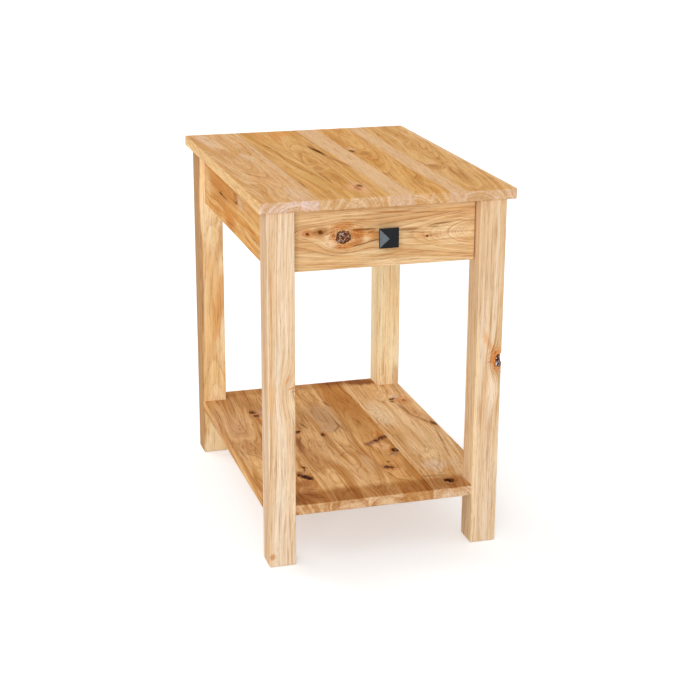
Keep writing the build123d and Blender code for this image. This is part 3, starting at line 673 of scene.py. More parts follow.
# %% [markdown]
# ## Aprons and drawer front
#
# The drawer front is the show piece: a large ringed knot, two small ones, and dark streaks that run
# from the knot to the knob. Its grain runs across the table, so the log lies along X. Spots are
# measured from the left leg and down from the underside of the top.

# %% Drawer front
on_front = measured_from(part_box("leg_front_left")[1].x, leg_head)
front_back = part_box("drawer_front")[1].y
dress(hickory(
    "drawer_hickory", "X", "XZ", (0.0, front_back + 0.040, on_front(0, 54)[1]), lean=(-0.04, -0.01),
    seed=9.4, spots=on_front, light=(235, 200, 151), dark=(215, 169, 116), ring_gap=0.0027,
    ring_strength=0.85, wander=0.0022, figure=0.8, fine=0.5, ash=(197, 190, 190), rugged=0.35,
    halo=0.62,
    knots=[(83, 50, 10.4, 1.18, 0, 1), (222, 57, 1.6, 1.8, 0, 0.6)],
    swirls=[(25, 41, 4, 1.3, 0, 0.8), (46, 40, 4.8, 1, 0, 0.9), (222, 57, 4, 1.6, 0, 0.8)],
    mounds=[(306, 54, 24, 55, 0, 28), (80, 51, 18, 28, 0, 18), (34, 41, 10, 30, 0, 12)],
    stains=[(62, 54, 14, 10, 0, (243, 208, 167), 0.7), (108, 46, 9, 10, 0, (201, 119, 46), 0.75),
            (132, 49, 7, 12, 20, (213, 141, 65), 0.7), (104, 62, 5, 12, -16, (197, 117, 51), 0.7),
            (84, 68, 5, 14, 0, ORANGE, 0.7), (84, 32, 5, 16, 0, ORANGE, 0.7), (66, 44, 8, 4, 0, ORANGE, 0.6),
            (240, 57, 3.4, 14, 0, (191, 125, 65), 0.8), (212, 56, 4, 8, 0, (215, 161, 105), 0.7),
            (25, 41, 7, 14, 0, (205, 139, 86), 0.85), (46, 39, 7.5, 12, 0, (177, 117, 63), 0.8),
            (125, 78, 10, 40, -6, (245, 214, 167), 0.6), (262, 60, 12, 24, 0, (247, 216, 173), 0.5),
            (170, 96, 6, 60, 0, (247, 216, 173), 0.4)],
    streaks=[(118, 40, 2.2, 26, 0, (132, 78, 34), 0.9), (112, 64, 2.2, 20, -13, (140, 84, 38), 0.85),
             (132, 59, 1.6, 14, -12, (146, 88, 40), 0.8), (130, 44, 1.4, 12, -30, UMBER, 0.5),
             (190, 44, 3.2, 24, 0, UMBER, 0.75), (205, 50, 1.4, 30, 4, UMBER, 0.6),
             (232, 43, 1.8, 12, 6, UMBER, 0.5), (165, 15, 3, 50, 2, (176, 112, 56), 0.75),
             (225, 19, 1.6, 45, 1, UMBER, 0.45), (245, 38, 1.8, 24, -5, UMBER, 0.8),
             (275, 35, 1.3, 16, 2, UMBER, 0.5), (158, 82, 2.2, 34, -8, (176, 116, 60), 0.5),
             (160, 88, 1.4, 30, -8, UMBER, 0.35), (205, 84, 1.4, 30, 4, UMBER, 0.3),
             (22, 50, 1.2, 10, 14, UMBER, 0.5), (130, 92, 1.4, 30, -6, UMBER, 0.25)],
    marks=[(25, 42, 3, 4.8, 10, (116, 52, 28), 0.92), (46, 40, 4, 5.2, 0, (98, 56, 18), 0.95)],
), "drawer_front")

# %% [markdown]
# The aprons are plainer. Spots on the left one are measured forward from the rear leg and down from
# the top; on the hidden two, along the apron from the table's middle and up from its foot.

# %% Aprons
APRON = dict(light=(240, 193, 127), dark=(219, 153, 78), ring_strength=0.6, wander=0.008, threads=0.6)
side_low, side_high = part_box("apron_left")
dress(hickory(
    "apron_hickory_left", "Y", "YZ", (side_high.x + 0.030, 0.0, side_low.z - 0.035), lean=(0.04, 0.03),
    seed=10.2, spots=measured_from(rear_leg_front, leg_head, step=-1), **APRON,
    stains=[(150, 40, 30, 110, 0, (205, 136, 66), 0.8), (205, 84, 15, 42, 0, (215, 140, 66), 0.85),
            (291, 38, 12, 28, 0, (238, 202, 154), 0.65), (12, 62, 36, 34, 0, (244, 208, 154), 0.6),
            (254, 34, 7, 16, 0, (184, 118, 50), 0.7)],
    streaks=[(142, 53, 2.6, 24, 0, (84, 42, 4), 1), (168, 54, 1.4, 30, 0, (110, 60, 20), 0.85),
             (263, 42, 4.2, 12, -8, (120, 66, 16), 0.9), (243, 44, 1.6, 20, 4, STREAK, 0.8),
             (208, 90, 3, 40, -3, UMBER, 0.5), (110, 86, 6, 40, 0, RUSSET, 0.6),
             (360, 66, 2, 50, 0, UMBER, 0.4), (300, 78, 2, 30, 0, UMBER, 0.4)],
), "apron_left")
side_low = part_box("apron_right")[0]
dress(hickory(
    "apron_hickory_right", "Y", "YZ", (side_low.x - 0.034, 0.0, side_low.z + 0.040),
    lean=(-0.05, 0.02), seed=11.7, spots=measured_from(0, side_low.z, fall=1), **APRON,
    knots=[(60, 60, 6, 1.3, 0, 0.9)],
    streaks=[(95, 58, 2.5, 30, 0, STREAK, 0.7)],
), "apron_right")
back_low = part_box("apron_back")[0]
dress(hickory(
    "apron_hickory_back", "X", "XZ", (0.05, back_low.y - 0.030, back_low.z + 0.030), lean=(0.06, 0.02),
    seed=12.9, spots=measured_from(0, back_low.z, fall=1), **APRON,
    streaks=[(-60, 70, 3, 30, 0, STREAK, 0.7)],
), "apron_back")

# %% [markdown]
# ## The shelf
#
# The shelf has the darkest and wildest boards, full of knots. Between the legs, at its front and
# rear, the surface is painted a shade darker: painted shade, where the table's shadow falls on it.
# Spots are measured from the shelf's left rear corner.

# %% Shelf boards
shelf_low, shelf_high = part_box("shelf_board_1")[0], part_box("shelf_board_5")[1]
front_leg_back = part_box("leg_front_left")[1].y
# The shelf's bands are painted shade, at its front and rear between the legs.
SHELF = dict(light=(243, 199, 140), dark=(202, 145, 84), ring_gap=0.0030, ring_strength=0.40,
             wander=0.010, figure=1.25, rugged=1.2, fine=0.5, threads=0.6, ash=(155, 121, 110),
             halo=0.9, end=(1.25, 1.60, 2.50),
             shade_bands=[(shelf_low.y - 0.05, front_leg_back + 0.006, 0.75),
                    (rear_leg_front + 0.012, shelf_high.y + 0.05, 0.5)])
PURPLE = (120, 84, 72)


def shelf_board(number, pith, **look):
    flat_board(f"shelf_board_{number}", f"shelf_hickory_{number}", shelf_low, shelf_high, pith,
               **dict(SHELF, **look))


shelf_board(
    1, pith=(30, 30), lean=(0.05, 0.05), seed=13.1, light=(243, 197, 135), dark=(202, 143, 80),
    knots=[(76, 128, 5, 1.6, 10, 0.7), (80, 147, 5.6, 1.3, 10, 0.7), (92, 456, 7.5, 2.2, 36, 1),
           (98, 413, 3.6, 1.6, 20, 0.7)],
    mounds=[(78, 520, 26, 26, 0, 26), (30, 290, 18, 45, 0, 16), (92, 455, 14, 22, 30, 16),
            (78, 140, 10, 26, 0, 10)],
    stains=[(80, 182, 5, 30, 4, (196, 123, 65), 0.85), (90, 128, 7, 16, 0, (229, 178, 144), 0.85),
            (25, 200, 30, 120, 0, (221, 180, 140), 0.6), (82, 80, 16, 50, 0, (202, 140, 85), 0.6),
            (80, 485, 18, 16, 0, (181, 113, 63), 0.8), (76, 525, 24, 30, 0, (194, 136, 83), 0.7),
            (84, 442, 5, 12, 0, PURPLE, 0.8)],
    streaks=[(97, 425, 2, 16, -14, STREAK, 0.7), (86, 508, 2.4, 16, 62, UMBER, 0.7),
             (78, 530, 2.4, 18, 50, UMBER, 0.7), (92, 545, 2.2, 14, 66, UMBER, 0.6),
             (12, 320, 2, 50, 6, UMBER, 0.5)],
    marks=[(93, 457, 5, 12.5, 36, (58, 30, 24), 0.8)],
)
shelf_board(
    2, pith=(146, 26), lean=(0.03, 0.05), seed=14.6,
    knots=[(132, 248, 4.6, 1.8, -12, 0.8)],
    mounds=[(145, 340, 14, 70, 0, 14), (140, 470, 14, 50, 0, 12)],
    stains=[(120, 310, 6, 46, -8, (155, 98, 58), 0.8), (158, 360, 10, 70, 0, (239, 197, 144), 0.8),
            (140, 215, 10, 26, 0, (192, 136, 85), 0.6), (122, 380, 12, 40, 0, (202, 144, 88), 0.6)],
    streaks=[(150, 220, 2.4, 22, 14, STREAK, 0.65), (128, 282, 2.4, 20, -16, STREAK, 0.6)],
)
shelf_board(
    3, pith=(200, 28), lean=(-0.02, 0.05), seed=15.5, light=(246, 203, 143), dark=(206, 148, 87),
    knots=[(173, 274, 3.6, 1.9, 0, 0.8)],
    mounds=[(188, 250, 14, 24, -20, 16), (190, 400, 14, 60, 0, 12)],
    stains=[(196, 170, 24, 70, 0, (202, 159, 119), 0.75), (188, 248, 14, 18, -24, (226, 184, 142), 0.7),
            (214, 420, 10, 36, 0, (233, 196, 150), 0.55), (176, 300, 6, 30, 0, (196, 140, 83), 0.6),
            (182, 470, 8, 50, 0, (239, 197, 146), 0.6)],
    streaks=[(214, 235, 2.6, 30, 4, UMBER, 0.7), (206, 250, 2.2, 22, -30, UMBER, 0.6),
             (190, 345, 2, 50, 4, UMBER, 0.5), (208, 365, 2, 40, 10, UMBER, 0.5),
             (222, 120, 5, 24, 10, (146, 94, 48), 0.7)],
)
shelf_board(
    4, pith=(250, 26), lean=(0.03, -0.04), seed=16.2, light=(231, 180, 115), dark=(202, 141, 74),
    knots=[(274, 315, 6.4, 1.9, -64, 0.9), (258, 326, 4.2, 1.8, -56, 0.6), (275, 380, 6.2, 1.3, -20, 0.9),
           (240, 452, 6.6, 1.2, 60, 0.9), (247, 428, 2.2, 1.6, 0, 0.6)],
    mounds=[(262, 340, 16, 26, 0, 22), (250, 488, 15, 22, 0, 20), (268, 395, 10, 16, -20, 14)],
    # Painted shade: the second stain here, with one on the next board, is the dark slanted wedge of shadow
    # at the shelf's rear right.
    stains=[(262, 130, 20, 130, 0, (196, 130, 66), 0.7), (262, 8, 30, 12, -10, (160, 102, 52), 0.8),
            (248, 334, 7, 16, -60, (155, 106, 97), 0.9), (266, 398, 7, 14, -40, (190, 155, 128), 0.8),
            (270, 292, 8, 14, 0, (229, 159, 88), 0.8), (260, 356, 14, 18, 0, (245, 195, 140), 0.9),
            (262, 420, 14, 26, 0, (233, 174, 110), 0.8), (250, 482, 16, 24, 0, (237, 185, 124), 0.85),
            (228, 445, 6, 14, 0, (212, 149, 108), 0.8)],
    streaks=[(236, 345, 3, 14, 20, (155, 87, 47), 0.7), (234, 485, 2.2, 20, 14, UMBER, 0.7),
             (244, 508, 2, 12, 60, UMBER, 0.6), (278, 350, 1.8, 24, 0, UMBER, 0.6),
             (264, 340, 1.6, 10, 40, STREAK, 0.6), (262, 398, 1.4, 10, -50, STREAK, 0.7)],
)
shelf_board(
    5, pith=(330, 28), lean=(0.04, 0.05), seed=17.8, light=(250, 213, 162), dark=(224, 174, 114),
    knots=[(352, 128, 4.4, 1.5, -40, 0.9), (347, 142, 2.6, 1.3, 0, 0.5), (372, 140, 2.4, 1.5, 30, 0.5),
           (320, 534, 8.6, 0.95, 0, 1)],
    mounds=[(306, 195, 17, 30, 0, 26), (366, 250, 12, 50, 14, 16), (360, 136, 14, 22, -30, 18),
            (320, 534, 13, 15, 0, 12)],
    stains=[(310, 215, 24, 70, 0, (245, 214, 171), 0.85), (312, 60, 24, 60, 0, (229, 176, 115), 0.7),
            (370, 138, 14, 24, 0, (221, 147, 88), 0.65), (362, 118, 6, 10, 0, (233, 208, 187), 0.8),
            # Painted shade: the stain at 315 by 16 continues the wedge of shadow at the shelf's rear right.
            (318, 466, 30, 24, -14, (242, 212, 180), 0.7), (315, 16, 42, 14, -13, (150, 92, 44), 0.85),
            (372, 225, 14, 70, 14, (212, 157, 103), 0.6), (322, 320, 6, 30, 0, (229, 180, 128), 0.6)],
    streaks=[(356, 185, 4.5, 44, 8, (150, 92, 40), 0.55), (372, 248, 4.8, 40, 22, (155, 96, 44), 0.6),
             (386, 272, 5, 16, 10, (92, 56, 26), 0.85), (372, 350, 3, 60, -8, UMBER, 0.6),
             (296, 508, 6, 40, 84, (155, 106, 61), 0.5), (318, 552, 3, 12, 88, STREAK, 0.5)],
    marks=[(320, 534, 6, 5.6, 0, BARK, 0.9)],
)

# %% [markdown]
# ## Inside the drawer
#
# The rails and cleats are plain hickory that nobody sees. The drawer box is maple with dovetails,
# and its bottom is birch plywood, whose faces are paler than the box.

# %% Hidden frame and drawer box
RAIL = dict(light=(232, 192, 138), dark=(214, 164, 106), ring_strength=0.4)
BOX = dict(light=(238, 212, 172), dark=(222, 190, 146), ring_strength=0.25, threads=0.35, fine=0.3,
           end=(0.72, 0.64, 0.54))
PLY = dict(light=(232, 204, 158), dark=(214, 178, 128), ring_gap=0.006, ring_strength=0.35, figure=0.7)
BESIDE_RAIL = Vector((0.03, 0.05, -0.06))
BESIDE_BOX = Vector((0.04, 0.06, -0.05))
for name, grain, face, beside, seed, look in (
    ("rail_front_upper", "X", "XY", BESIDE_RAIL, 20, RAIL),
    ("rail_front_lower", "X", "XY", BESIDE_RAIL, 21, RAIL),
    ("slide_cleat_left", "Y", "YZ", BESIDE_RAIL, 22, RAIL),
    ("slide_cleat_right", "Y", "YZ", BESIDE_RAIL, 23, RAIL),
    ("drawer_box_front", "X", "XZ", BESIDE_BOX, 30, BOX),
    ("drawer_box_back", "X", "XZ", BESIDE_BOX, 31, BOX),
    ("drawer_side_left", "Y", "YZ", BESIDE_BOX, 32, BOX),
    ("drawer_side_right", "Y", "YZ", BESIDE_BOX, 33, BOX),
    ("drawer_bottom", "X", "XY", BESIDE_BOX, 34, PLY),
):
    middle = sum(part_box(name), Vector()) / 2
    dress(hickory(name + "_wood", grain, face, middle + beside, lean=(0.02, 0.03), seed=seed, **look), name)
dress(hickory("dowel_wood", "Y", "XY", (0.1, 0.0, 0.0), light=(228, 194, 144), dark=(214, 176, 124),
              seed=41.0), "shelf_dowels")

# %% [markdown]
# ## Metal
#
# The slides are zinc plated strip steel: bright, slightly brushed along their length, with a faint
# cloudy bloom. The screws have the same plating, and the balls are polished.


# %% Metal
def plated(name, colour, roughness, brush=(1, 1, 1), bloom=0.12):
    """Zinc plate: fine lines along the part, and cloudy patches."""
    metal = Recipe(name)
    point = metal.add("TexCoord").outputs["Object"]
    lines = metal.noise(metal.vector("MULTIPLY", point, brush), 900)
    cloud = metal.noise(point, 60, detail=3.0)
    level = metal.times(cloud, bloom * 2, 1.0 - bloom)
    level = metal.times(metal.centred(lines), 0.12, level)
    shaded = metal.blend(1.0, colour, metal.ramp(level, ((0.0, 0.0), (1.0, 1.0))), "MULTIPLY")
    metal.bump(lines, 0.00008, 0.25)
    rough = metal.times(cloud, 0.16, roughness - 0.08)
    return metal.finish(Base_Color=shaded, Metallic=1.0, Roughness=rough)


def pairs(*kinds):
    """The left and right part of each kind."""
    return [f"{kind}_{side}" for kind in kinds for side in ("left", "right")]


LENGTHWISE = (1, 0.02, 1)
dress(plated("zinc_plate", (196, 198, 202), 0.34, LENGTHWISE),
      *pairs("slide_cabinet_member", "slide_middle_member", "slide_drawer_member"))
cage_plate = plated("cage_steel", (172, 174, 178), 0.42, LENGTHWISE)
dress(cage_plate, *pairs("outer_ball_cage", "inner_ball_cage"))
dress(plated("ball_steel", (214, 216, 220), 0.12, bloom=0.04), *pairs("outer_balls", "inner_balls"))
screw_plate = plated("screw_plate", (204, 192, 160), 0.32)
dress(screw_plate, "top_fasteners")

# %% [markdown]
# ## Tools for turned and softened pieces
#
# A few new pieces stand for plain ones or sit beside them. Round ones are spun from a profile, as
# on a lathe, and square ones have their edges bevelled. Each piece is made of separate closed
# shells, which are joined into one object that rides on the body it belongs to.

# %% Piece tools
SAME_POINT = 1e-6
SHARP = 0.6


def lathe(shape, points, centre, axis, steps):
    """Spins a profile once round an axis."""
    corners = [shape.verts.new(point) for point in points]
    profile = corners + [shape.edges.new(pair) for pair in zip(corners, corners[1:])]
    bmesh.ops.spin(shape, geom=profile, cent=centre, axis=axis, angle=math.tau, steps=steps, use_merge=True)
    bmesh.ops.remove_doubles(shape, verts=shape.verts, dist=SAME_POINT)


def soften(shape, edges, width, segments=2):
    """Rounds some edges."""
    bmesh.ops.bevel(shape, geom=edges, offset=width, offset_type="OFFSET", segments=segments,
                    profile=0.5, affect="EDGES", material=-1)


def sharp_edges(shape):
    return [edge for edge in shape.edges if edge.calc_face_angle(0) > SHARP]


def add_piece(name, shells, material, body):
    """Joins shells into one piece that rides on a body."""
    mesh, joined = bpy.data.meshes.new(name), bmesh.new()
    for shell in shells:
        bmesh.ops.recalc_face_normals(shell, faces=shell.faces)
        shell.to_mesh(mesh)
        shell.free()
        joined.from_mesh(mesh)
    joined.to_mesh(mesh)
    joined.free()
    mesh.materials.append(material)
    piece = put(name, mesh)
    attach(piece, body)
    print(name, "of", len(shells), "shells,", len(mesh.polygons), "faces")
    return piece


# %% [markdown]
# ## Knob
#
# The knob is a square casting with a low pyramid face, finished in satin black. Behind the head it
# tapers to a waisted neck, which stands on a round foot against the drawer front.


# %% Knob finish
def cast_black(name):
    """Satin black over cast metal: faint orange peel, and a slight blue in the highlights."""
    metal = Recipe(name)
    point = metal.add("TexCoord").outputs["Object"]
    peel = metal.noise(point, 900)
    worn = metal.noise(point, 130, detail=3.0)
    metal.bump(peel, 0.0001, 0.25)
    return metal.finish(Base_Color=metal.blend(worn, (20, 21, 23), (32, 33, 36)),
                        Roughness=metal.times(worn, 0.10, 0.16), Specular_IOR_Level=0.20)


# %% Knob shape
KNOB_RIM = 0.0032
KNOB_PEAK = 0.0046
KNOB_TAPER = 0.0055
KNOB_NECK = 0.0060
KNOB_FOOT = 0.0085
KNOB_EDGE = 0.00055
KNOB_STEPS = 40
NECK_SUNK = 0.0005


def pyramid_head(centre, side):
    """A square head with a pyramid front and a tapered back, all edges softened."""
    shape = bmesh.new()
    made = bmesh.ops.create_cube(shape, size=1.0)["verts"]
    bmesh.ops.scale(shape, vec=(side, KNOB_RIM, side), verts=made)
    front = min(shape.faces, key=lambda face: face.calc_center_median().y)
    back = max(shape.faces, key=lambda face: face.calc_center_median().y)
    peak = bmesh.ops.poke(shape, faces=[front])["verts"]
    bmesh.ops.translate(shape, verts=peak, vec=(0, -KNOB_PEAK, 0))
    tail = bmesh.ops.extrude_discrete_faces(shape, faces=[back])["faces"][0].verts
    bmesh.ops.translate(shape, verts=tail, vec=(0, KNOB_TAPER, 0))
    bmesh.ops.scale(shape, vec=(2 * KNOB_NECK / side, 1, 2 * KNOB_NECK / side), verts=tail)
    soften(shape, shape.edges[:], KNOB_EDGE, segments=3)
    bmesh.ops.translate(shape, verts=shape.verts, vec=centre)
    return shape


def turned_neck(centre, wall, head_back):
    """A round foot against the drawer and a waisted neck."""
    turns = [(0.0, wall), (KNOB_FOOT - 0.0004, wall), (KNOB_FOOT, wall - 0.0005),
             (KNOB_FOOT, wall - 0.0019), (KNOB_FOOT - 0.0005, wall - 0.0024),
             (KNOB_NECK + 0.0006, wall - 0.0029), (KNOB_NECK, wall - 0.0040),
             (KNOB_NECK - 0.0004, wall - 0.0080), (KNOB_NECK - 0.0002, head_back),
             (0.0, head_back - 0.0010)]
    shape = bmesh.new()
    points = [(centre.x + out, along, centre.z) for out, along in turns]
    lathe(shape, points, centre, (0, 1, 0), KNOB_STEPS)
    return shape


knob_low, knob_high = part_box("knob")
middle = (knob_low + knob_high) / 2
rim_back = knob_low.y + KNOB_PEAK + KNOB_RIM
head = pyramid_head(Vector((middle.x, rim_back - KNOB_RIM / 2, middle.z)), knob_high.x - knob_low.x)
neck = turned_neck(Vector((middle.x, 0, middle.z)), knob_high.y, rim_back + KNOB_TAPER - NECK_SUNK)
knob = add_piece("cast_knob", [head, neck], cast_black("knob_black"), "drawer")
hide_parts("knob")

# %% [markdown]
# ## Screws
#
# The frame holds each group of screws as plain shanks with plain heads. A real wood screw has a
# softened head with a cross recess for the driver. Each plain screw is found in its group and
# measured: its axis runs from the middle of one end to the middle of the other, and the wide end
# is the head. A new screw is then spun from one profile, round an open ring on top, and the
# ring is drawn in to a cross and pushed down for the recess.

# %% Measure the plain screws
END_DEPTH = 0.0002
PULLS = 40


def separate_shells(mesh):
    """The loose shells of a mesh, each as a list of its points, always in the same order."""
    shape = bmesh.new()
    shape.from_mesh(mesh)
    bmesh.ops.remove_doubles(shape, verts=shape.verts, dist=SAME_POINT)
    taken, shells = set(), []
    for first in shape.verts:
        reached = [] if first in taken else [first]
        for vertex in reached:
            taken.add(vertex)
            near = [edge.other_vert(vertex) for edge in vertex.link_edges]
            reached.extend(other for other in near if other not in reached)
        if reached:
            shells.append([vertex.co.copy() for vertex in reached])
    shape.free()
    return shells


def middle_of(points):
    return sum(points, Vector()) / len(points)


def long_axis(points):
    """The direction in which the points spread most, found by letting them pull on a first guess."""
    centre = middle_of(points)
    arms = [point - centre for point in points]
    run = max(arms, key=lambda arm: arm.length)
    for _ in range(PULLS):
        run = sum((arm * arm.dot(run) for arm in arms), Vector()).normalized()
    return run


def screw_sizes(points):
    """Where a plain screw's head is, which way it runs, its head's radius and thickness, its
    shank's radius, its length, and whether the head is sunk."""
    run = long_axis(points)
    along = sorted(points, key=lambda point: point.dot(run))
    ends = [[point for point in points if abs((point - end).dot(run)) < END_DEPTH]
            for end in (along[0], along[-1])]
    run = (middle_of(ends[1]) - middle_of(ends[0])).normalized()
    wide = [max((point - middle_of(end)).cross(run).length for point in end) for end in ends]
    if wide[1] > wide[0]:
        run, ends, wide = -run, ends[::-1], wide[::-1]
    head = middle_of(ends[0])
    reach = [((point - head).dot(run), (point - head).cross(run).length) for point in points]
    thick = max(depth for depth, out in reach if out > 0.95 * wide[0])
    sunk = thick < END_DEPTH
    if sunk:
        thick = min(depth for depth, out in reach if out < 1.02 * wide[1])
    return head, run, wide[0], thick, wide[1], max(depth for depth, out in reach), sunk


# %% Spin the real screws
SCREW_STEPS = 24
RECESS_REACH = 0.56
RECESS_ARM = 0.15
RECESS_FLOOR = 0.55
RECESS_DEPTH = 0.0011
TIP = 0.0025


def crossed_screw(head, run, head_radius, head_thick, shank_radius, length, sunk):
    """One screw with a cross recess, in place."""
    recess = RECESS_REACH * head_radius
    if sunk:
        rim = [(head_radius - 0.0002, 0.0), (head_radius, 0.0002), (shank_radius, head_thick)]
    else:
        rim = [(0.75 * head_radius, 0.0001), (0.93 * head_radius, 0.0005), (head_radius, 0.0011),
               (head_radius, head_thick - 0.0001), (head_radius - 0.0001, head_thick),
               (shank_radius, head_thick)]
    turns = [(recess, 0.0), *rim, (shank_radius, length - TIP), (0.25 * shank_radius, length - 0.0001),
             (0.0, length)]
    screw = bmesh.new()
    lathe(screw, [(out, 0, depth) for out, depth in turns], (0, 0, 0), (0, 0, 1), SCREW_STEPS)
    ring = [edge for edge in screw.edges if edge.is_boundary]
    for vertex in {vertex for edge in ring for vertex in edge.verts}:
        arm = min(abs(vertex.co.x), abs(vertex.co.y))
        vertex.co.xy *= min(1.0, RECESS_ARM * head_radius / max(arm, 1e-9))
    walls = bmesh.ops.extrude_edge_only(screw, edges=ring)["geom"]
    floor_points = [part for part in walls if isinstance(part, bmesh.types.BMVert)]
    bmesh.ops.scale(screw, vec=(RECESS_FLOOR, RECESS_FLOOR, 1), verts=floor_points)
    bmesh.ops.translate(screw, vec=(0, 0, RECESS_DEPTH), verts=floor_points)
    bmesh.ops.edgeloop_fill(screw, edges=[edge for edge in screw.edges if edge.is_boundary])
    bmesh.ops.transform(screw, matrix=run.to_track_quat("Z", "Y").to_matrix(), verts=screw.verts)
    bmesh.ops.translate(screw, vec=head, verts=screw.verts)
    return screw


for body, groups in (
    ("table", ("fastener_apron_screws", "fastener_top_screws", "rail_top_screws",
               "rail_pocket_screws", "cleat_screws", "cabinet_slide_screws")),
    ("drawer", ("drawer_slide_screws", "drawer_front_screws", "knob_screw")),
):
    for group in groups:
        found = [screw_sizes(points) for points in separate_shells(nodes[group].data)]
        shells = [crossed_screw(*sizes) for sizes in found]
        crossed = add_piece("crossed_" + group, shells, screw_plate, body)
        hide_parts(group)
        print("  first, mm:", [round(value / MM, 2) for value in found[0][2:6]])

# %% [markdown]
# ## Latches on the slides
#
# Each drawer slide has a small stamped latch lying in its channel, which lets the drawer come out.
# A thumb pad, a springy arm and a round pivot are three softened shapes, joined as one piece.

# %% Latches
LATCH_ARM = Vector((0.0009, 0.0360, 0.0042))
LATCH_PAD = Vector((0.0022, 0.0095, 0.0088))
LATCH_BOW = 0.0009
ARM_OFF_WEB = 0.0009
PAD_OFF_WEB = 0.0004
ARM_EDGE = 0.0003
PAD_EDGE = 0.0005
PIVOT_RADIUS = 0.0046
PIVOT_THICK = 0.0022
PIVOT_STEPS = 28
PIVOT_EDGE = 0.0003
LATCH_FROM_FRONT = 0.196
SHEET = 0.0012
PAD_DROP = Vector((0, 0, -0.0030))


def softened_block(centre, size, edge_width, bow=0.0):
    """A block with rounded edges, whose middle bows sideways by the given distance."""
    block = bmesh.new()
    bmesh.ops.create_cube(block, size=1.0)
    bmesh.ops.scale(block, vec=size, verts=block.verts)
    for station in (-0.25, 0.0, 0.25):
        bmesh.ops.bisect_plane(block, geom=block.verts[:] + block.edges[:] + block.faces[:],
                               plane_co=(0, station * size.y, 0), plane_no=(0, 1, 0))
    for vertex in block.verts:
        vertex.co.x += bow * (1 - (2 * vertex.co.y / size.y) ** 2)
    soften(block, sharp_edges(block), edge_width)
    bmesh.ops.translate(block, vec=centre, verts=block.verts)
    return block


def pivot_disc(centre, radius, thick):
    """A low round rivet, standing along x."""
    disc = bmesh.new()
    bmesh.ops.create_cone(disc, segments=PIVOT_STEPS, cap_ends=True, radius1=radius, radius2=radius,
                          depth=thick)
    soften(disc, sharp_edges(disc), PIVOT_EDGE)
    bmesh.ops.rotate(disc, cent=(0, 0, 0), matrix=Matrix.Rotation(math.pi / 2, 3, "Y"), verts=disc.verts)
    bmesh.ops.translate(disc, vec=centre, verts=disc.verts)
    return disc


for side, outward in (("left", -1), ("right", 1)):
    low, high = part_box(f"slide_drawer_member_{side}")
    web = min(abs(low.x), abs(high.x)) + SHEET
    spot = Vector((outward * web, low.y + LATCH_FROM_FRONT, (low.z + high.z) / 2))
    out = Vector((outward, 0, 0))
    half_arm = Vector((0, LATCH_ARM.y / 2, 0))
    arm_place = spot + out * (LATCH_ARM.x / 2 + ARM_OFF_WEB)
    pad_place = spot + out * (LATCH_PAD.x / 2 + PAD_OFF_WEB) + half_arm + PAD_DROP
    shells = [
        softened_block(arm_place, LATCH_ARM, ARM_EDGE, outward * LATCH_BOW),
        softened_block(pad_place, LATCH_PAD, PAD_EDGE),
        pivot_disc(spot + out * PIVOT_THICK / 2 - half_arm, PIVOT_RADIUS, PIVOT_THICK),
    ]
    add_piece(f"slide_latch_{side}", shells, cage_plate, "drawer")

# %% [markdown]
# ## Studio
#
# A plain pale floor and a plain soft light. The world is white; for the camera and for reflections
# it shows at full strength, and as a lamp it is a little weaker. Two soft suns, one in front on the
# left and one behind, give the rest, and a small blue lamp gives the knob its highlight. The floor
# shows white to the camera but keeps the table's soft shadow.

# %% Floor
FLOOR_SIZE = 40.0
FLOOR_DROP = 0.0005
FLOOR_GLOW = 0.42


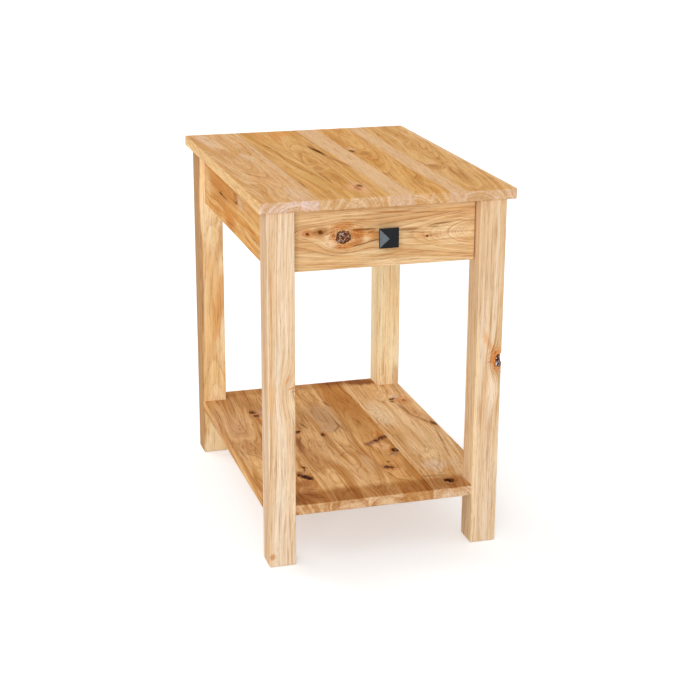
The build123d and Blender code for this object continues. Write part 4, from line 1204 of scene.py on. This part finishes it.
def studio_floor():
    """A wide floor, white to the camera, with a soft shadow."""
    mesh = bpy.data.meshes.new("floor")
    plane = bmesh.new()
    bmesh.ops.create_grid(plane, x_segments=1, y_segments=1, size=FLOOR_SIZE)
    bmesh.ops.translate(plane, verts=plane.verts, vec=(0, 0, cad_low.z - FLOOR_DROP))
    plane.to_mesh(mesh)
    plane.free()
    paint = Recipe("floor_paint")
    paint.finish(Base_Color=(235, 235, 235), Roughness=0.9, Specular_IOR_Level=0.0)
    seen = paint.add("LightPath").outputs["Is Camera Ray"]
    glow = paint.add("Emission", {"Strength": paint.times(seen, FLOOR_GLOW)})
    both = paint.add("AddShader", {0: paint.shader.outputs[0], 1: glow.outputs[0]})
    paint.feed(paint.output.inputs[0], both.outputs[0])
    mesh.materials.append(paint.material)
    return put("floor", mesh)


studio_floor()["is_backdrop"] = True


# %% World and lamps
def studio_world(lamp_strength):
    """White all round: full strength to the camera and in reflections."""
    world = bpy.data.worlds.new("studio")
    bpy.context.scene.world = world
    world.use_nodes = True
    sky = Nodes(world.node_tree)
    rays = sky.add("LightPath").outputs
    seen = sky.math("MAXIMUM", rays["Is Camera Ray"], rays["Is Glossy Ray"])
    seen = sky.math("MAXIMUM", seen, rays["Is Transmission Ray"])
    strength = sky.add("MapRange", {"Value": seen, "To Min": lamp_strength, "To Max": 1.0}).outputs[0]
    background = sky.tree.nodes["Background"]
    sky.feed(background.inputs["Color"], (1, 1, 1, 1))
    sky.feed(background.inputs["Strength"], strength)


def lamp(name, kind, place, target, **settings):
    """A lamp that looks at a target, and that the camera doesn't see."""
    data = bpy.data.lights.new(name, kind)
    for key, value in settings.items():
        setattr(data, key, value)
    head = put(name, data)
    head.location = place
    head.rotation_euler = (Vector(target) - Vector(place)).to_track_quat("-Z", "Y").to_euler()
    head.visible_camera = False
    print("lamp", name, kind, "strength", round(data.energy, 2))


MIDDLE = (0, 0, 0.3)
KNOB_HALF = 0.016
KNOB_LIGHT_AWAY = 1.6
studio_world(lamp_strength=0.68)
lamp("key", "SUN", (-1.75, -3.4, 1.25), MIDDLE, energy=1.09, angle=math.radians(24))
lamp("rear_key", "SUN", (-2.0, 2.5, 2.7), MIDDLE, energy=0.80, angle=math.radians(30))
knob_face = knob_low + Vector((KNOB_HALF, 0, KNOB_HALF))
off_knob = KNOB_LIGHT_AWAY * Vector((-0.230, -0.942, -0.245))
lamp("knob_light", "AREA", knob_face + off_knob, knob_face, size=0.16, energy=3.2,
     color=(0.78, 0.92, 1.0))

# %% [markdown]
# ## Finish
#
# The picture keeps its plain colours, and the size after dressing is printed, as the frame's size
# was printed at the start.

# %% Finish
bpy.context.scene.view_settings.view_transform = "Standard"
low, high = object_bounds()
print("visual size", [round(v, 4) for v in high - low])
